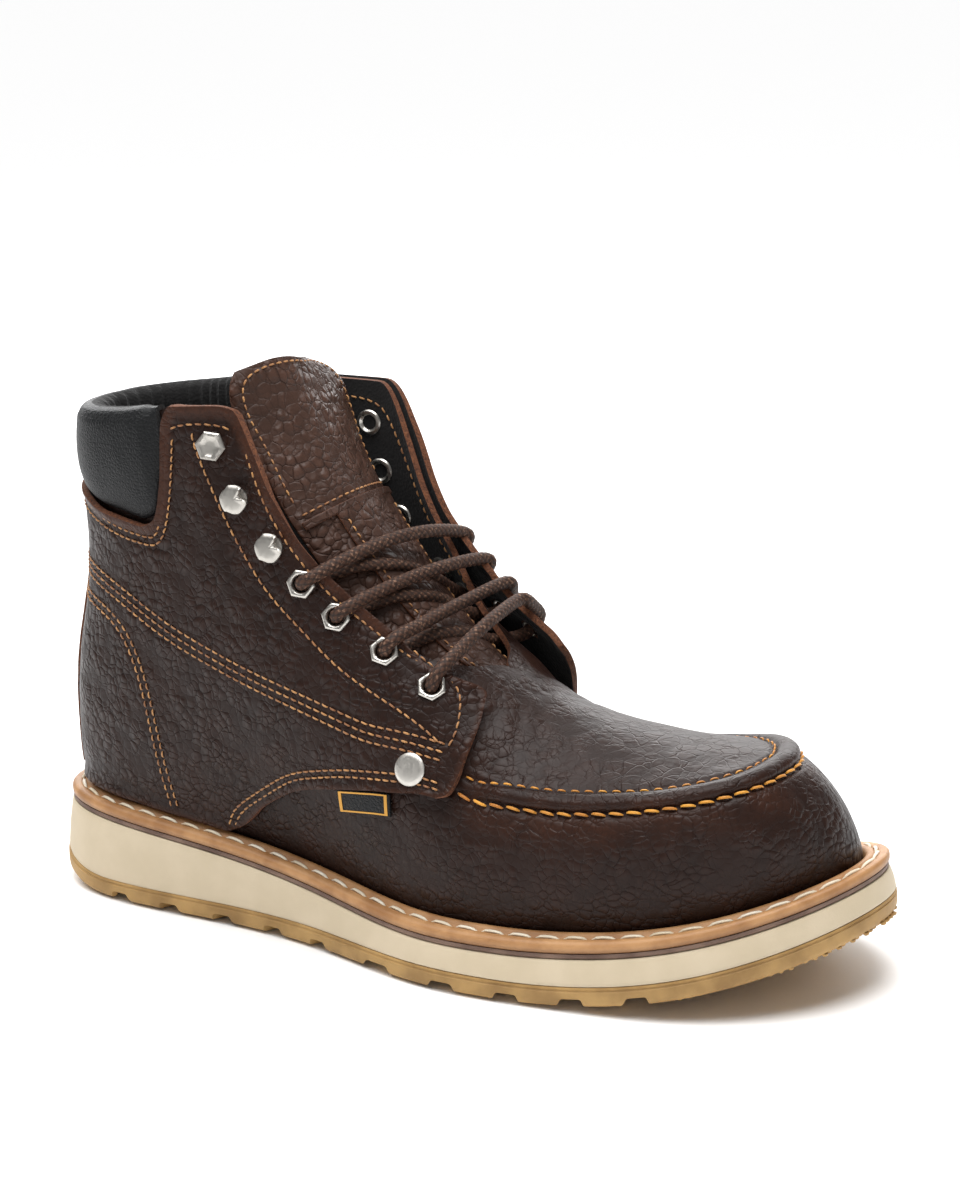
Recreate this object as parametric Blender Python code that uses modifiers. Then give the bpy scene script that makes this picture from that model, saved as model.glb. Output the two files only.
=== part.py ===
import bpy
import bmesh
import math
import numpy as np
from mathutils import Vector

# Sizes in millimetres. +X runs to the toe, +Y to the inner (medial) side, +Z up. Right foot.
LENGTH = 302.0
MM = 0.001
GAP = 0.3

# Sole outline: half widths of the bottom edge on each side, by place along the length.
SOLE_COLUMNS = ("place", "lateral", "medial")
SOLE_ROWS = [
    (-1.00, 40.0, 41.0),
    (-0.62, 34.0, 40.0),
    (-0.20, 39.0, 38.0),
    (0.10, 53.0, 46.0),
    (0.42, 55.5, 56.0),
    (0.75, 56.0, 57.0),
    (1.00, 51.0, 52.0),
]
TOE_SWING = 10.0
END_ROUND = 4.2
FLARE = 2.9
LEDGE = 8.0

# Heights of the top of the midsole before toe spring, by place along the length.
MID_COLUMNS = ("place", "top")
MID_ROWS = [(-1.00, 29.0), (-0.45, 22.0), (0.00, 14.5), (0.40, 14.5), (1.00, 14.5)]
TOE_SPRING = 23.0
HEEL_LIFT = 6.0
OUTSOLE = 6.5
SLIP = 1.8
WELT = 5.2

# Ribs of the upper on each side. s runs from the heel seam (0) to the toe (1).
# M is the seam level (stitch line of the quarter, then the moc seam), T the top edge.
# low and high are outward swells half way below and above M, crown lifts the apron.
RIB_COLUMNS = ("s", "mx", "my", "mz", "tx", "ty", "tz", "low", "high", "crown")
LATERAL_ROWS = [
    (0.000, -131.5, 0.0, 113.0, -130.0, 0.0, 167.0, 3.5, 0.0, 0.0),
    (0.100, -125.0, -17.0, 111.0, -124.0, -18.0, 167.5, 3.0, 0.0, 0.0),
    (0.200, -108.0, -26.0, 106.5, -111.0, -28.0, 168.5, 2.0, 0.0, 0.0),
    (0.300, -84.0, -30.5, 97.5, -92.0, -31.0, 171.0, 1.5, 0.0, 0.0),
    (0.360, -62.0, -33.0, 90.5, -80.0, -31.0, 176.0, 1.5, 0.0, 0.0),
    (0.420, -38.0, -36.0, 84.0, -61.0, -25.0, 175.5, 2.0, 0.5, 0.0),
    (0.480, -12.0, -38.0, 77.0, -30.0, -21.5, 134.0, 3.0, 1.5, 0.0),
    (0.530, 10.0, -39.5, 71.0, 2.0, -18.5, 103.0, 4.0, 2.0, 0.3),
    (0.560, 25.0, -40.5, 65.0, 16.0, -12.0, 95.5, 4.5, 1.5, 0.7),
    (0.585, 36.0, -41.0, 61.0, 24.0, 0.0, 92.0, 4.5, 0.5, 1.0),
    (0.640, 56.0, -40.0, 59.8, 42.0, 0.5, 82.5, 5.0, 0.0, 1.0),
    (0.700, 76.0, -38.0, 61.5, 60.0, 1.5, 77.5, 5.0, 0.0, 1.0),
    (0.780, 99.0, -33.0, 65.5, 78.0, 2.5, 75.0, 5.0, 0.0, 1.0),
    (0.860, 114.0, -24.0, 69.0, 89.0, 3.5, 74.5, 5.0, 0.0, 1.0),
    (0.930, 120.5, -11.0, 70.5, 95.0, 4.0, 74.3, 4.5, 0.0, 1.0),
    (1.000, 122.0, 3.0, 71.0, 98.0, 4.0, 74.2, 4.0, 0.0, 1.0),
]
MEDIAL_ROWS = [
    (0.000, -131.5, 0.0, 113.0, -130.0, 0.0, 167.0, 3.5, 0.0, 0.0),
    (0.100, -125.0, 17.0, 111.0, -124.0, 18.0, 167.5, 3.0, 0.0, 0.0),
    (0.200, -108.0, 26.0, 106.5, -111.0, 28.0, 168.5, 2.0, 0.0, 0.0),
    (0.300, -84.0, 30.5, 97.5, -92.0, 31.5, 171.0, 0.5, 0.0, 0.0),
    (0.360, -62.0, 33.0, 90.5, -74.0, 33.5, 176.0, 0.0, 0.0, 0.0),
    (0.420, -38.0, 35.5, 84.0, -42.0, 35.5, 175.5, 0.0, 0.5, 0.0),
    (0.480, -12.0, 37.0, 77.0, -19.0, 28.0, 131.0, 1.0, 1.5, 0.0),
    (0.530, 10.0, 38.5, 71.0, 4.0, 21.0, 104.5, 2.5, 2.0, 0.3),
    (0.560, 25.0, 39.5, 65.0, 17.0, 13.0, 95.5, 3.5, 1.5, 0.7),
    (0.585, 36.0, 40.0, 61.0, 24.0, 0.0, 92.0, 4.0, 0.5, 1.0),
    (0.640, 56.0, 40.5, 60.0, 42.0, 0.5, 82.5, 4.5, 0.0, 1.0),
    (0.700, 76.0, 40.0, 61.0, 60.0, 1.5, 77.5, 4.5, 0.0, 1.0),
    (0.780, 96.0, 36.5, 64.5, 78.0, 2.5, 75.0, 4.0, 0.0, 1.0),
    (0.860, 109.0, 28.5, 68.0, 89.0, 3.5, 74.5, 3.5, 0.0, 1.0),
    (0.930, 118.0, 16.5, 70.0, 95.0, 4.0, 74.3, 3.5, 0.0, 1.0),
    (1.000, 122.0, 3.0, 71.0, 98.0, 4.0, 74.2, 4.0, 0.0, 1.0),
]
THROAT_S = 0.585
WALL = 2.0
RIDGE_HEIGHT = 2.4
RIDGE_WIDTH = 8.0
RIDGE_START = 0.57

# Outsole: zigzag grooves and a plain pad under the waist.
GROOVE_DEPTH = 2.8
GROOVE_WIDTH = 9.0
GROOVE_ROOT = 6.5
GROOVE_PITCH = 23.0
GROOVE_FIRST = -117.0
GROOVE_COUNT = 10
ZIGZAG_PERIOD = 27.0
ZIGZAG_SWING = 9.0
PAD = (38.0, 20.0)
PAD_PLACE = (-22.0, 2.0)
PAD_TURN = 8.0
EDGE_ROUND = 1.2

# Welt section, from its outer foot around to its inner foot: inset and height above the slip layer.
WELT_COLUMNS = ("inset", "height")
WELT_ROWS = [(0.0, 0.3), (-0.2, 2.6), (0.9, 4.0), (5.8, 4.3), (7.6, 4.6), (7.7, 0.3)]

# Tongue: rows up its middle line, with half width and how far each edge sinks back.
TONGUE_COLUMNS = ("x", "z", "half_lateral", "half_medial", "sag_lateral", "sag_medial")
TONGUE_ROWS = [
    (38.0, 80.0, 10.0, 10.0, 2.0, 2.0),
    (24.0, 88.0, 13.0, 13.0, 3.5, 3.5),
    (12.0, 95.5, 17.0, 17.0, 6.0, 5.0),
    (-2.0, 108.0, 20.0, 21.0, 9.0, 6.0),
    (-14.0, 122.0, 22.0, 24.0, 11.5, 6.5),
    (-26.0, 138.0, 23.0, 26.0, 13.0, 7.0),
    (-36.0, 154.0, 23.5, 28.5, 14.0, 8.5),
    (-44.0, 168.0, 23.0, 30.0, 14.0, 6.5),
    (-50.0, 180.0, 23.5, 28.0, 15.0, 4.5),
    (-53.5, 188.0, 21.5, 17.0, 12.5, 5.5),
]
TONGUE_WALL = 2.6

# Panels that lie on the upper: places on its surface by s and t.
SKIN_GAP = 0.75
QUARTER_WALL = 2.2
FLAP_END = 0.545
QUARTER_COLUMNS = ("s", "low", "top")
QUARTER_ROWS = [
    (0.000, 0.015, 0.790),
    (0.100, 0.015, 0.780),
    (0.200, 0.015, 0.750),
    (0.270, 0.015, 0.750),
    (0.300, 0.015, 0.775),
    (0.318, 0.015, 0.850),
    (0.340, 0.015, 0.975),
    (0.360, 0.050, 1.000),
    (0.385, 0.140, 1.000),
    (0.430, 0.258, 1.000),
    (0.490, 0.344, 1.000),
    (0.520, 0.374, 0.995),
    (0.545, 0.412, 0.960),
    (0.580, 0.450, 0.960),
]
FRONT_COLUMNS = ("part", "s")
FRONT_ROWS = [(0.0, 0.560), (0.3, 0.566), (0.6, 0.573), (0.75, 0.573), (0.9, 0.563), (1.0, 0.545)]
CUT_COLUMNS = ("s", "cut")
CUT_ROWS = [
    (0.000, 0.0),
    (0.200, 0.0),
    (0.405, 0.0),
    (0.420, 0.005),
    (0.430, 0.06),
    (0.440, 0.115),
    (0.458, 0.135),
    (0.480, 0.115),
    (0.510, 0.1),
    (0.535, 0.075),
    (0.560, 0.03),
    (0.585, 0.0),
    (0.800, 0.0),
    (1.000, 0.0),
]
FLAP_LIFT_LATERAL = 0.8
FLAP_LIFT_MEDIAL = 6.5

# Collar: section of the padded cuff over the rim, from its outer foot to its inner foot.
COLLAR_END = 0.328
COLLAR_COLUMNS = ("height", "offset", "lift")
COLLAR_ROWS = [
    (0.00, 0.5, 0.0),
    (0.04, 2.6, 0.0),
    (0.30, 4.4, 0.0),
    (0.65, 5.0, 0.0),
    (1.00, 4.2, 0.5),
    (1.00, 2.2, 3.4),
    (1.00, -1.5, 4.2),
    (1.00, -5.0, 2.6),
    (0.90, -6.4, 0.0),
    (0.55, -5.6, 0.0),
    (0.15, -3.6, 0.0),
    (0.12, -2.6, 0.0),
    (1.00, -2.6, 0.6),
    (1.00, 0.5, 0.6),
]

# Hardware: places on the flaps by s and t.
LATERAL_EYELETS = [(0.455, 0.77), (0.480, 0.79), (0.510, 0.81), (0.540, 0.77)]
MEDIAL_EYELETS = [(0.472, 0.79), (0.493, 0.80), (0.515, 0.81), (0.538, 0.78)]
LATERAL_CROSSINGS = [0.477, 0.501, 0.525, 0.548]
MEDIAL_CROSSINGS = [0.490, 0.507, 0.525, 0.541]
LATERAL_HOOKS = [(0.395, 0.93), (0.410, 0.84), (0.435, 0.78)]
MEDIAL_HOOKS = [(0.410, 0.92), (0.416, 0.83), (0.432, 0.76)]
RIVET_PLACE = (0.530, 0.46)
FLAP_TOP = SKIN_GAP + QUARTER_WALL
SEAT = 0.5
EYELET_R = 4.4
EYELET_HOLE = 2.6
EYELET_H = 1.1
RING = 12
HOOK_COLUMNS = ("radius", "height", "six_sided")
HOOK_ROWS = [
    (3.6, 0.0, False),
    (3.6, 1.0, False),
    (1.9, 1.2, False),
    (1.9, 2.9, False),
    (4.6, 3.2, True),
    (4.1, 4.4, True),
]
RIVET_ROWS = [(5.3, 0.0, False), (5.3, 0.6, False), (3.9, 1.4, False), (1.6, 1.8, False)]

# Lace: four bars, each from a lateral eyelet over the throat to a medial one.
CORD_R = 2.2
BAR_RISE = 3.0
BAR_CLEAR = 1.45
EDGE_T = 0.96

# Steps of the meshes.
SOLE_STEPS = 34
UPPER_STEPS = 30


# Curves through table values, and the surfaces drawn from them.
def smooth(knots, values, x):
    """Shape-keeping cubic through the rows of a table."""
    k = np.asarray(knots, float)
    v = np.asarray(values, float)
    x = np.asarray(x, float)
    h = np.diff(k)
    d = np.diff(v) / h
    m = np.zeros_like(v)
    same = d[:-1] * d[1:] > 0
    w1 = 2 * h[1:] + h[:-1]
    w2 = h[1:] + 2 * h[:-1]
    a = np.where(same, d[:-1], 1.0)
    b = np.where(same, d[1:], 1.0)
    m[1:-1] = np.where(same, (w1 + w2) / (w1 / a + w2 / b), 0.0)
    m[0] = ((2 * h[0] + h[1]) * d[0] - h[0] * d[1]) / (h[0] + h[1])
    m[-1] = ((2 * h[-1] + h[-2]) * d[-1] - h[-1] * d[-2]) / (h[-1] + h[-2])
    i = np.clip(np.searchsorted(k, x) - 1, 0, len(k) - 2)
    u = (x - k[i]) / h[i]
    c0 = (1 + 2 * u) * (1 - u) ** 2
    c1 = u * (1 - u) ** 2 * h[i]
    c2 = u * u * (3 - 2 * u)
    c3 = u * u * (u - 1) * h[i]
    return c0 * v[i] + c1 * m[i] + c2 * v[i + 1] + c3 * m[i + 1]


def column(rows, names, name):
    """One named column of a table."""
    return [row[names.index(name)] for row in rows]


def natural(knots, values, x):
    """Natural cubic spline through the rows of a table."""
    k = np.asarray(knots, float)
    v = np.asarray(values, float)
    x = np.asarray(x, float)
    n = len(k)
    h = np.diff(k)
    a = np.eye(n)
    r = np.zeros(n)
    for j in range(1, n - 1):
        a[j, j - 1:j + 2] = (h[j - 1], 2 * (h[j - 1] + h[j]), h[j])
        r[j] = 6 * ((v[j + 1] - v[j]) / h[j] - (v[j] - v[j - 1]) / h[j - 1])
    c = np.linalg.solve(a, r)
    i = np.clip(np.searchsorted(k, x) - 1, 0, n - 2)
    p = (k[i + 1] - x) / h[i]
    q = (x - k[i]) / h[i]
    bend = ((p ** 3 - p) * c[i] + (q ** 3 - q) * c[i + 1]) * h[i] ** 2 / 6
    return p * v[i] + q * v[i + 1] + bend


def edge_raw(s, side):
    """Bottom edge of the sole at s on one side, without inset."""
    xi = -np.cos(np.pi * np.asarray(s, float))
    name = "lateral" if side < 0 else "medial"
    places = column(SOLE_ROWS, SOLE_COLUMNS, "place")
    half = natural(places, column(SOLE_ROWS, SOLE_COLUMNS, name), xi)
    round_off = np.sqrt(np.clip(1 - np.abs(xi) ** END_ROUND, 0, 1))
    swing = TOE_SWING * np.clip((xi + 0.2) / 1.2, 0, 1) ** 2
    return np.stack([xi * LENGTH / 2, swing + side * half * round_off], -1)


def edge(s, side, inset):
    """Sole outline moved inward by an even inset."""
    s = np.asarray(s, float)
    step = 1e-4
    tangent = edge_raw(np.clip(s + step, 0, 1), side) - edge_raw(np.clip(s - step, 0, 1), side)
    ends = (s < step) | (s > 1 - step)
    tangent[ends] = np.where(s[ends, None] < 0.5, (0.0, 1.0), (0.0, -1.0)) * (1, side)
    tangent = tangent / np.linalg.norm(tangent, axis=-1, keepdims=True)
    inward = np.stack([tangent[..., 1], -tangent[..., 0]], -1) * side
    return edge_raw(s, side) + inward * np.reshape(inset, np.shape(inset) + (1,))


def toe_rise(x):
    """Lift of the whole sole under the toes."""
    return TOE_SPRING * np.clip((np.asarray(x) / (LENGTH / 2) - 0.30) / 0.70, 0, 1) ** 2


def ground_rise(x):
    """Lift of the bottom face: toe spring and the rounded back of the heel."""
    back = np.clip((-np.asarray(x) / (LENGTH / 2) - 0.80) / 0.20, 0, 1)
    return toe_rise(x) + HEEL_LIFT * back ** 2


def mid_top(x):
    """Height of the top of the midsole."""
    xi = np.clip(np.asarray(x, float) / (LENGTH / 2), -1, 1)
    rows = natural(column(MID_ROWS, MID_COLUMNS, "place"), column(MID_ROWS, MID_COLUMNS, "top"), xi)
    return rows + toe_rise(x)


LEVELS = np.array([0.0, 0.25, 0.5, 0.75, 1.0])


def level_weights(t):
    """Weights of the five levels of a rib at t."""
    t = np.clip(np.asarray(t, float), 0, 1)
    unit = np.eye(5)
    slopes = np.zeros((5, 5))
    for j in range(1, 4):
        slopes[j] = (unit[j + 1] - unit[j - 1]) / 2
    slopes[0] = -1.5 * unit[0] + 2 * unit[1] - 0.5 * unit[2]
    slopes[4] = 1.5 * unit[4] - 2 * unit[3] + 0.5 * unit[2]
    i = np.clip((t * 4).astype(int), 0, 3)
    u = (t * 4 - i)[..., None]
    w = (1 + 2 * u) * (1 - u) ** 2 * unit[i] + u * (1 - u) ** 2 * slopes[i]
    return w + u * u * (3 - 2 * u) * unit[i + 1] + u * u * (u - 1) * slopes[i + 1]


def top_edge(s, side):
    """Top edge of one side; ahead of the throat both sides share the middle line."""
    both = []
    for rows in (LATERAL_ROWS, MEDIAL_ROWS):
        at = column(rows, RIB_COLUMNS, "s")
        both.append(np.stack([smooth(at, column(rows, RIB_COLUMNS, n), s) for n in ("tx", "ty", "tz")], -1))
    own = both[0] if side < 0 else both[1]
    shared = (both[0] + both[1]) / 2
    shared[..., 1] = np.maximum(shared[..., 1], 0.0)
    return np.where(np.asarray(s)[..., None] >= THROAT_S, shared, own)


def rib_levels(s, side):
    """The five level points of the ribs at s."""
    rows = LATERAL_ROWS if side < 0 else MEDIAL_ROWS
    s = np.asarray(s, float)
    at = column(rows, RIB_COLUMNS, "s")
    get = {name: smooth(at, column(rows, RIB_COLUMNS, name), s) for name in RIB_COLUMNS[1:]}
    foot_xy = edge(s, side, FLARE + LEDGE)
    foot = np.concatenate([foot_xy, (mid_top(foot_xy[..., 0]) + SLIP + WELT)[..., None]], -1)
    seam = np.stack([get["mx"], get["my"], get["mz"]], -1)
    top = top_edge(s, side)
    step = 0.004
    ahead = np.clip(s + step, 0, 1)
    behind = np.clip(s - step, 0, 1)
    change = []
    for name in ("mx", "my", "mz"):
        values = column(rows, RIB_COLUMNS, name)
        change.append(smooth(at, values, ahead) - smooth(at, values, behind))
    along = np.stack(change, -1)
    along[s < 1e-6] = (0.0, 1.0 * side, 0.0)
    along[s > 1 - 1e-6] = (0.0, -1.0 * side, 0.0)
    low_out = np.cross(along, seam - foot) * -side
    low_out /= np.linalg.norm(low_out, axis=-1, keepdims=True)
    high_out = np.cross(along, top - seam) * -side
    high_out /= np.linalg.norm(high_out, axis=-1, keepdims=True)
    low = (foot + seam) / 2 + low_out * get["low"][..., None]
    high = (seam + top) / 2 + high_out * get["high"][..., None]
    fall = top_edge(np.clip(s + step, 0, 1), side) - top_edge(np.clip(s - step, 0, 1), side)
    slope = np.clip(fall[..., 2] / np.where(np.abs(fall[..., 0]) < 1e-6, 1.0, fall[..., 0]), -1.0, 1.0)
    end_slope = slope * (top[..., 0] - seam[..., 0])
    high[..., 2] += get["crown"] * (top[..., 2] - seam[..., 2] - end_slope) / 4
    return np.stack([foot, low, seam, high, top], -2)


def skin(s, t, side):
    """Bare surface of the upper, without the raised seam."""
    return np.einsum("...k,...kc->...c", level_weights(t), rib_levels(s, side))


def skin_normal(s, t, side):
    """Outward normal of the bare surface."""
    s = np.asarray(s, float)
    t = np.asarray(t, float)
    ds = 1e-3
    dt = 2e-3
    a = skin(np.clip(s + ds, 0, 1), t, side) - skin(np.clip(s - ds, 0, 1), t, side)
    b = skin(s, np.clip(t + dt, 0, 1), side) - skin(s, np.clip(t - dt, 0, 1), side)
    n = np.cross(a, b) * -side
    return n / np.maximum(np.linalg.norm(n, axis=-1, keepdims=True), 1e-12)


def ridge(s, t, side):
    """Height of the raised seam around the apron."""
    levels = rib_levels(s, side)
    reach = np.linalg.norm(levels[..., 4, :] - levels[..., 2, :], axis=-1)
    across = np.clip((np.asarray(t) - 0.5) * 2 * reach / RIDGE_WIDTH, 0, 1)
    start = np.clip((np.asarray(s) - RIDGE_START) / 0.03, 0, 1)
    return RIDGE_HEIGHT * start * np.sin(np.pi * across) ** 0.8


def outer(s, t, side, lift=0.0):
    """Outer face of the upper, lifted along its normal."""
    normal = skin_normal(s, t, side)
    return skin(s, t, side) + normal * (ridge(s, t, side) + lift)[..., None]


OUTLINE_S = np.linspace(0, 1, 401)
MIDDLE_Y = float(edge_raw(OUTLINE_S, 1)[:, 1].max() + edge_raw(OUTLINE_S, -1)[:, 1].min()) / 2

# Collections and materials of the boot.
for old in list(bpy.data.objects):
    bpy.data.objects.remove(old, do_unlink=True)

boot = bpy.data.collections.new("moc_toe_boot")
bpy.context.scene.collection.children.link(boot)
cutters = bpy.data.collections.new("cutters")
bpy.context.scene.collection.children.link(cutters)


def material(name, rgb, roughness, metallic=0.0):
    """Principled material in the part's own colour."""
    made = bpy.data.materials.new(name)
    made.use_nodes = True
    shader = made.node_tree.nodes["Principled BSDF"]
    shader.inputs["Base Color"].default_value = (*rgb, 1.0)
    shader.inputs["Roughness"].default_value = roughness
    shader.inputs["Metallic"].default_value = metallic
    return made


LEATHER = ((0.045, 0.024, 0.019), 0.55)
BLACK = ((0.025, 0.026, 0.028), 0.6)
GUM = ((0.47, 0.33, 0.13), 0.6)
CREAM = ((0.62, 0.53, 0.40), 0.7)
SLATE = ((0.10, 0.065, 0.055), 0.7)
TAN = ((0.50, 0.25, 0.11), 0.55)
NICKEL = ((0.78, 0.77, 0.75), 0.25, 1.0)
CORD = ((0.06, 0.034, 0.022), 0.75)


def finish(name, bm, finish_values, holder=None, away_from=None):
    """Turn a bmesh in millimetres into a named object in metres."""
    bmesh.ops.remove_doubles(bm, verts=bm.verts, dist=0.02)
    bmesh.ops.recalc_face_normals(bm, faces=bm.faces)
    if away_from is not None:
        bm.normal_update()
        inside = Vector(away_from)
        out = sum(f.normal.dot(f.calc_center_median() - inside) * f.calc_area() for f in bm.faces)
        if out < 0:
            bmesh.ops.reverse_faces(bm, faces=bm.faces)
    bmesh.ops.translate(bm, vec=(0.0, -MIDDLE_Y, 0.0), verts=bm.verts)
    bmesh.ops.scale(bm, vec=(MM, MM, MM), verts=bm.verts)
    mesh = bpy.data.meshes.new(name)
    bm.to_mesh(mesh)
    bm.free()
    made = bpy.data.objects.new(name, mesh)
    (holder or boot).objects.link(made)
    if finish_values:
        mesh.materials.append(material(name, *finish_values))
    mesh.shade_smooth()
    mesh.set_sharp_from_angle(angle=math.radians(35))
    return made


def baked(made):
    """Apply an object's modifiers to its mesh."""
    graph = bpy.context.evaluated_depsgraph_get()
    mesh = bpy.data.meshes.new_from_object(made.evaluated_get(graph))
    made.modifiers.clear()
    made.data = mesh
    return made


def cut(target, tool, operation="DIFFERENCE"):
    """Boolean one mesh with another."""
    boolean = target.modifiers.new(operation.lower(), "BOOLEAN")
    boolean.operation = operation
    boolean.object = tool
    tool.hide_render = True
    tool.display_type = "WIRE"
    return baked(target)


def shell(made, thickness, outward):
    """Give an open surface an even wall."""
    wall = made.modifiers.new("wall", "SOLIDIFY")
    wall.thickness = thickness * MM
    wall.offset = 1.0 if outward else -1.0
    wall.use_even_offset = True
    return made


# Sole: closed loops around the outline, lofted and closed by strips across.
SOLE_S = np.linspace(0, 1, SOLE_STEPS + 1)


def loop(inset, height):
    """One loop of the sole at an inset, with its height as a function of x."""
    lateral = edge(SOLE_S, -1, inset)
    medial = edge(SOLE_S[-2:0:-1], 1, inset)
    flat = np.concatenate([lateral, medial])
    return np.column_stack([flat, height(flat[:, 0])])


def loft(bm, loops, ring=False):
    """Side faces between loops of equal length."""
    rows = [[bm.verts.new(point) for point in points] for points in loops]
    pairs = list(zip(rows, rows[1:] + rows[:1] if ring else rows[1:]))
    for low, high in pairs:
        for i in range(len(low)):
            j = (i + 1) % len(low)
            bm.faces.new((low[i], low[j], high[j], high[i]))
    return rows


def strips(bm, row, breaks):
    """Close a loop by strips that run across it between the given steps."""
    count = len(row)
    for a, b in zip(breaks[:-1], breaks[1:]):
        lateral = [row[i] for i in range(a, b + 1)]
        medial = [row[(count - i) % count] for i in range(b, a - 1, -1)]
        face = []
        for vert in lateral + medial:
            if vert not in face:
                face.append(vert)
        bm.faces.new(face)


ALL_STEPS = list(range(SOLE_STEPS + 1))


def sole_layer(name, rows, values):
    """A layer of the sole from (inset, height function) rows, bottom to top."""
    bm = bmesh.new()
    loops = loft(bm, [loop(inset, height) for inset, height in rows])
    strips(bm, loops[0], ALL_STEPS)
    strips(bm, loops[-1], ALL_STEPS)
    return finish(name, bm, values)


# Outsole: gum slab with zigzag lugs and a plain pad under the waist.


def zigzag(x, y):
    """Zigzag of a groove's middle line."""
    return x + ZIGZAG_SWING * (abs((y / ZIGZAG_PERIOD) % 1.0 - 0.5) * 2 - 0.5)


def groove_cutter():
    """All tread grooves as one set of prisms."""
    bm = bmesh.new()
    turns = np.arange(-6, 7) * ZIGZAG_PERIOD / 2
    for k in range(GROOVE_COUNT):
        x = GROOVE_FIRST + k * GROOVE_PITCH
        sections = []
        for y in turns:
            middle = zigzag(x, y)
            wide = GROOVE_WIDTH / 2 + 0.9
            root = GROOVE_ROOT / 2
            sections.append([(middle - wide, y, -2.0), (middle + wide, y, -2.0),
                             (middle + root, y, GROOVE_DEPTH), (middle - root, y, GROOVE_DEPTH)])
        rows = loft(bm, sections)
        bm.faces.new(rows[0])
        bm.faces.new(rows[-1])
    return finish("tread_cutter", bm, None, cutters)


def build_outsole():
    """Gum outsole, cut flat and then bent up at the toe and the back of the heel."""
    flat_from = 7
    flat_to = 19
    breaks = [i for i in ALL_STEPS if not flat_from < i < flat_to]
    bm = bmesh.new()
    rows = loft(bm, [loop(EDGE_ROUND, lambda x: 0 * x), loop(0.0, lambda x: 0 * x + EDGE_ROUND),
                     loop(0.4, lambda x: 0 * x + OUTSOLE)])
    strips(bm, rows[0], breaks)
    strips(bm, rows[-1], ALL_STEPS)
    made = cut(finish("outsole", bm, (GUM[0], GUM[1])), groove_cutter())
    bm = bmesh.new()
    bmesh.ops.create_cube(bm, size=1.0)
    bmesh.ops.scale(bm, vec=(PAD[0], PAD[1], 5.0), verts=bm.verts)
    turn = math.radians(PAD_TURN)
    for vert in bm.verts:
        x, y, z = vert.co
        vert.co = (PAD_PLACE[0] + x * math.cos(turn) - y * math.sin(turn),
                   PAD_PLACE[1] + x * math.sin(turn) + y * math.cos(turn), z + 3.0)
    pad = finish("pad_tool", bm, None, cutters)
    cut(made, pad, "UNION")
    for vert in made.data.vertices:
        vert.co.z += float(ground_rise(vert.co.x / MM)) * MM
    return made


def build_midsole():
    """Cream wedge between outsole and slip layer."""
    def bottom(x):
        return OUTSOLE + GAP + ground_rise(x)

    def middle(x):
        return bottom(x) * 0.45 + mid_top(x) * 0.55
    return sole_layer("midsole", [(0.5, bottom), (1.4, middle), (FLARE, mid_top)], CREAM)


def build_slip_layer():
    """Thin dark layer under the welt."""
    def bottom(x):
        return mid_top(x) + GAP

    def top(x):
        return mid_top(x) + SLIP
    return sole_layer("slip_layer", [(FLARE + 0.2, bottom), (FLARE + 0.2, top)], SLATE)


def build_welt():
    """Ring of leather around the foot of the upper."""
    bm = bmesh.new()
    loops = []
    for inset, height in WELT_ROWS:
        loops.append(loop(FLARE + inset, lambda x, h=height: mid_top(x) + SLIP + h))
    loft(bm, loops, ring=True)
    return finish("welt", bm, TAN)


def build_insole():
    """Insole lying inside the foot of the upper."""
    inset = FLARE + LEDGE + WALL + 0.4

    def bottom(x):
        return mid_top(x) + SLIP + GAP

    def top(x):
        return mid_top(x) + SLIP + 3.5
    return sole_layer("insole", [(inset, bottom), (inset, top)], BLACK)


# Upper: both sides of the rib surface with a foot row that goes down behind the welt.


def throat_cut(s, side):
    """How far the edge of the throat is cut back below the top of the ribs; only on the lateral side."""
    if side > 0:
        return np.zeros(np.shape(s))
    return smooth(column(CUT_ROWS, CUT_COLUMNS, "s"), column(CUT_ROWS, CUT_COLUMNS, "cut"), s)


def rib_rows(s, side):
    """Places of the rows on the ribs at s, gathered at the raised seam."""
    levels = rib_levels(s, side)
    reach = np.linalg.norm(levels[..., 4, :] - levels[..., 2, :], axis=-1)
    width = RIDGE_WIDTH / (2 * reach)
    below = [np.full_like(s, t) for t in (0.0, 0.16, 0.33, 0.5)]
    over = [0.5 + width * part for part in (0.25, 0.5, 0.75, 1.0)]
    above = [0.5 + width + (0.5 - width) * part for part in (0.33, 0.67, 1.0)]
    rows = np.stack(below + over + above, -1)
    return np.where(rows > 0.5, 0.5 + (rows - 0.5) * (1 - 2 * throat_cut(s, side)[:, None]), rows)


def grid_faces(bm, points):
    """Quads over a grid of points."""
    verts = [[bm.verts.new(point) for point in row] for row in points]
    for a, b in zip(verts, verts[1:]):
        for j in range(len(a) - 1):
            bm.faces.new((a[j], b[j], b[j + 1], a[j + 1]))


def build_upper():
    """Vamp, apron and shaft as one hollow wall, open at the top, throat and underneath."""
    steps = np.linspace(0, 1, UPPER_STEPS + 1)
    keep = [s for s in steps if min(abs(s - fixed) for fixed in (0.36, 0.42, THROAT_S)) > 0.008]
    s_all = np.array(sorted(keep + [0.36, 0.42, THROAT_S]))
    bm = bmesh.new()
    for side in (-1, 1):
        t_all = rib_rows(s_all, side)
        s_grid = np.repeat(s_all[:, None], t_all.shape[1], 1)
        points = outer(s_grid, t_all, side)
        hem = points[:, 0].copy()
        hem[:, 2] = mid_top(hem[:, 0]) + SLIP + GAP
        points[s_all == 0, :, 1] = 0.0
        toe = s_all == 1
        if side > 0:
            points[toe] = lateral_toe
        lateral_toe = points[toe].copy()
        middle = s_all >= THROAT_S
        points[middle, -1] = top_edge(s_all[middle], side)
        grid_faces(bm, np.concatenate([hem[:, None], points], 1))
    return shell(finish("upper", bm, LEATHER, away_from=(0.0, 0.0, 60.0)), WALL, False)


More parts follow.
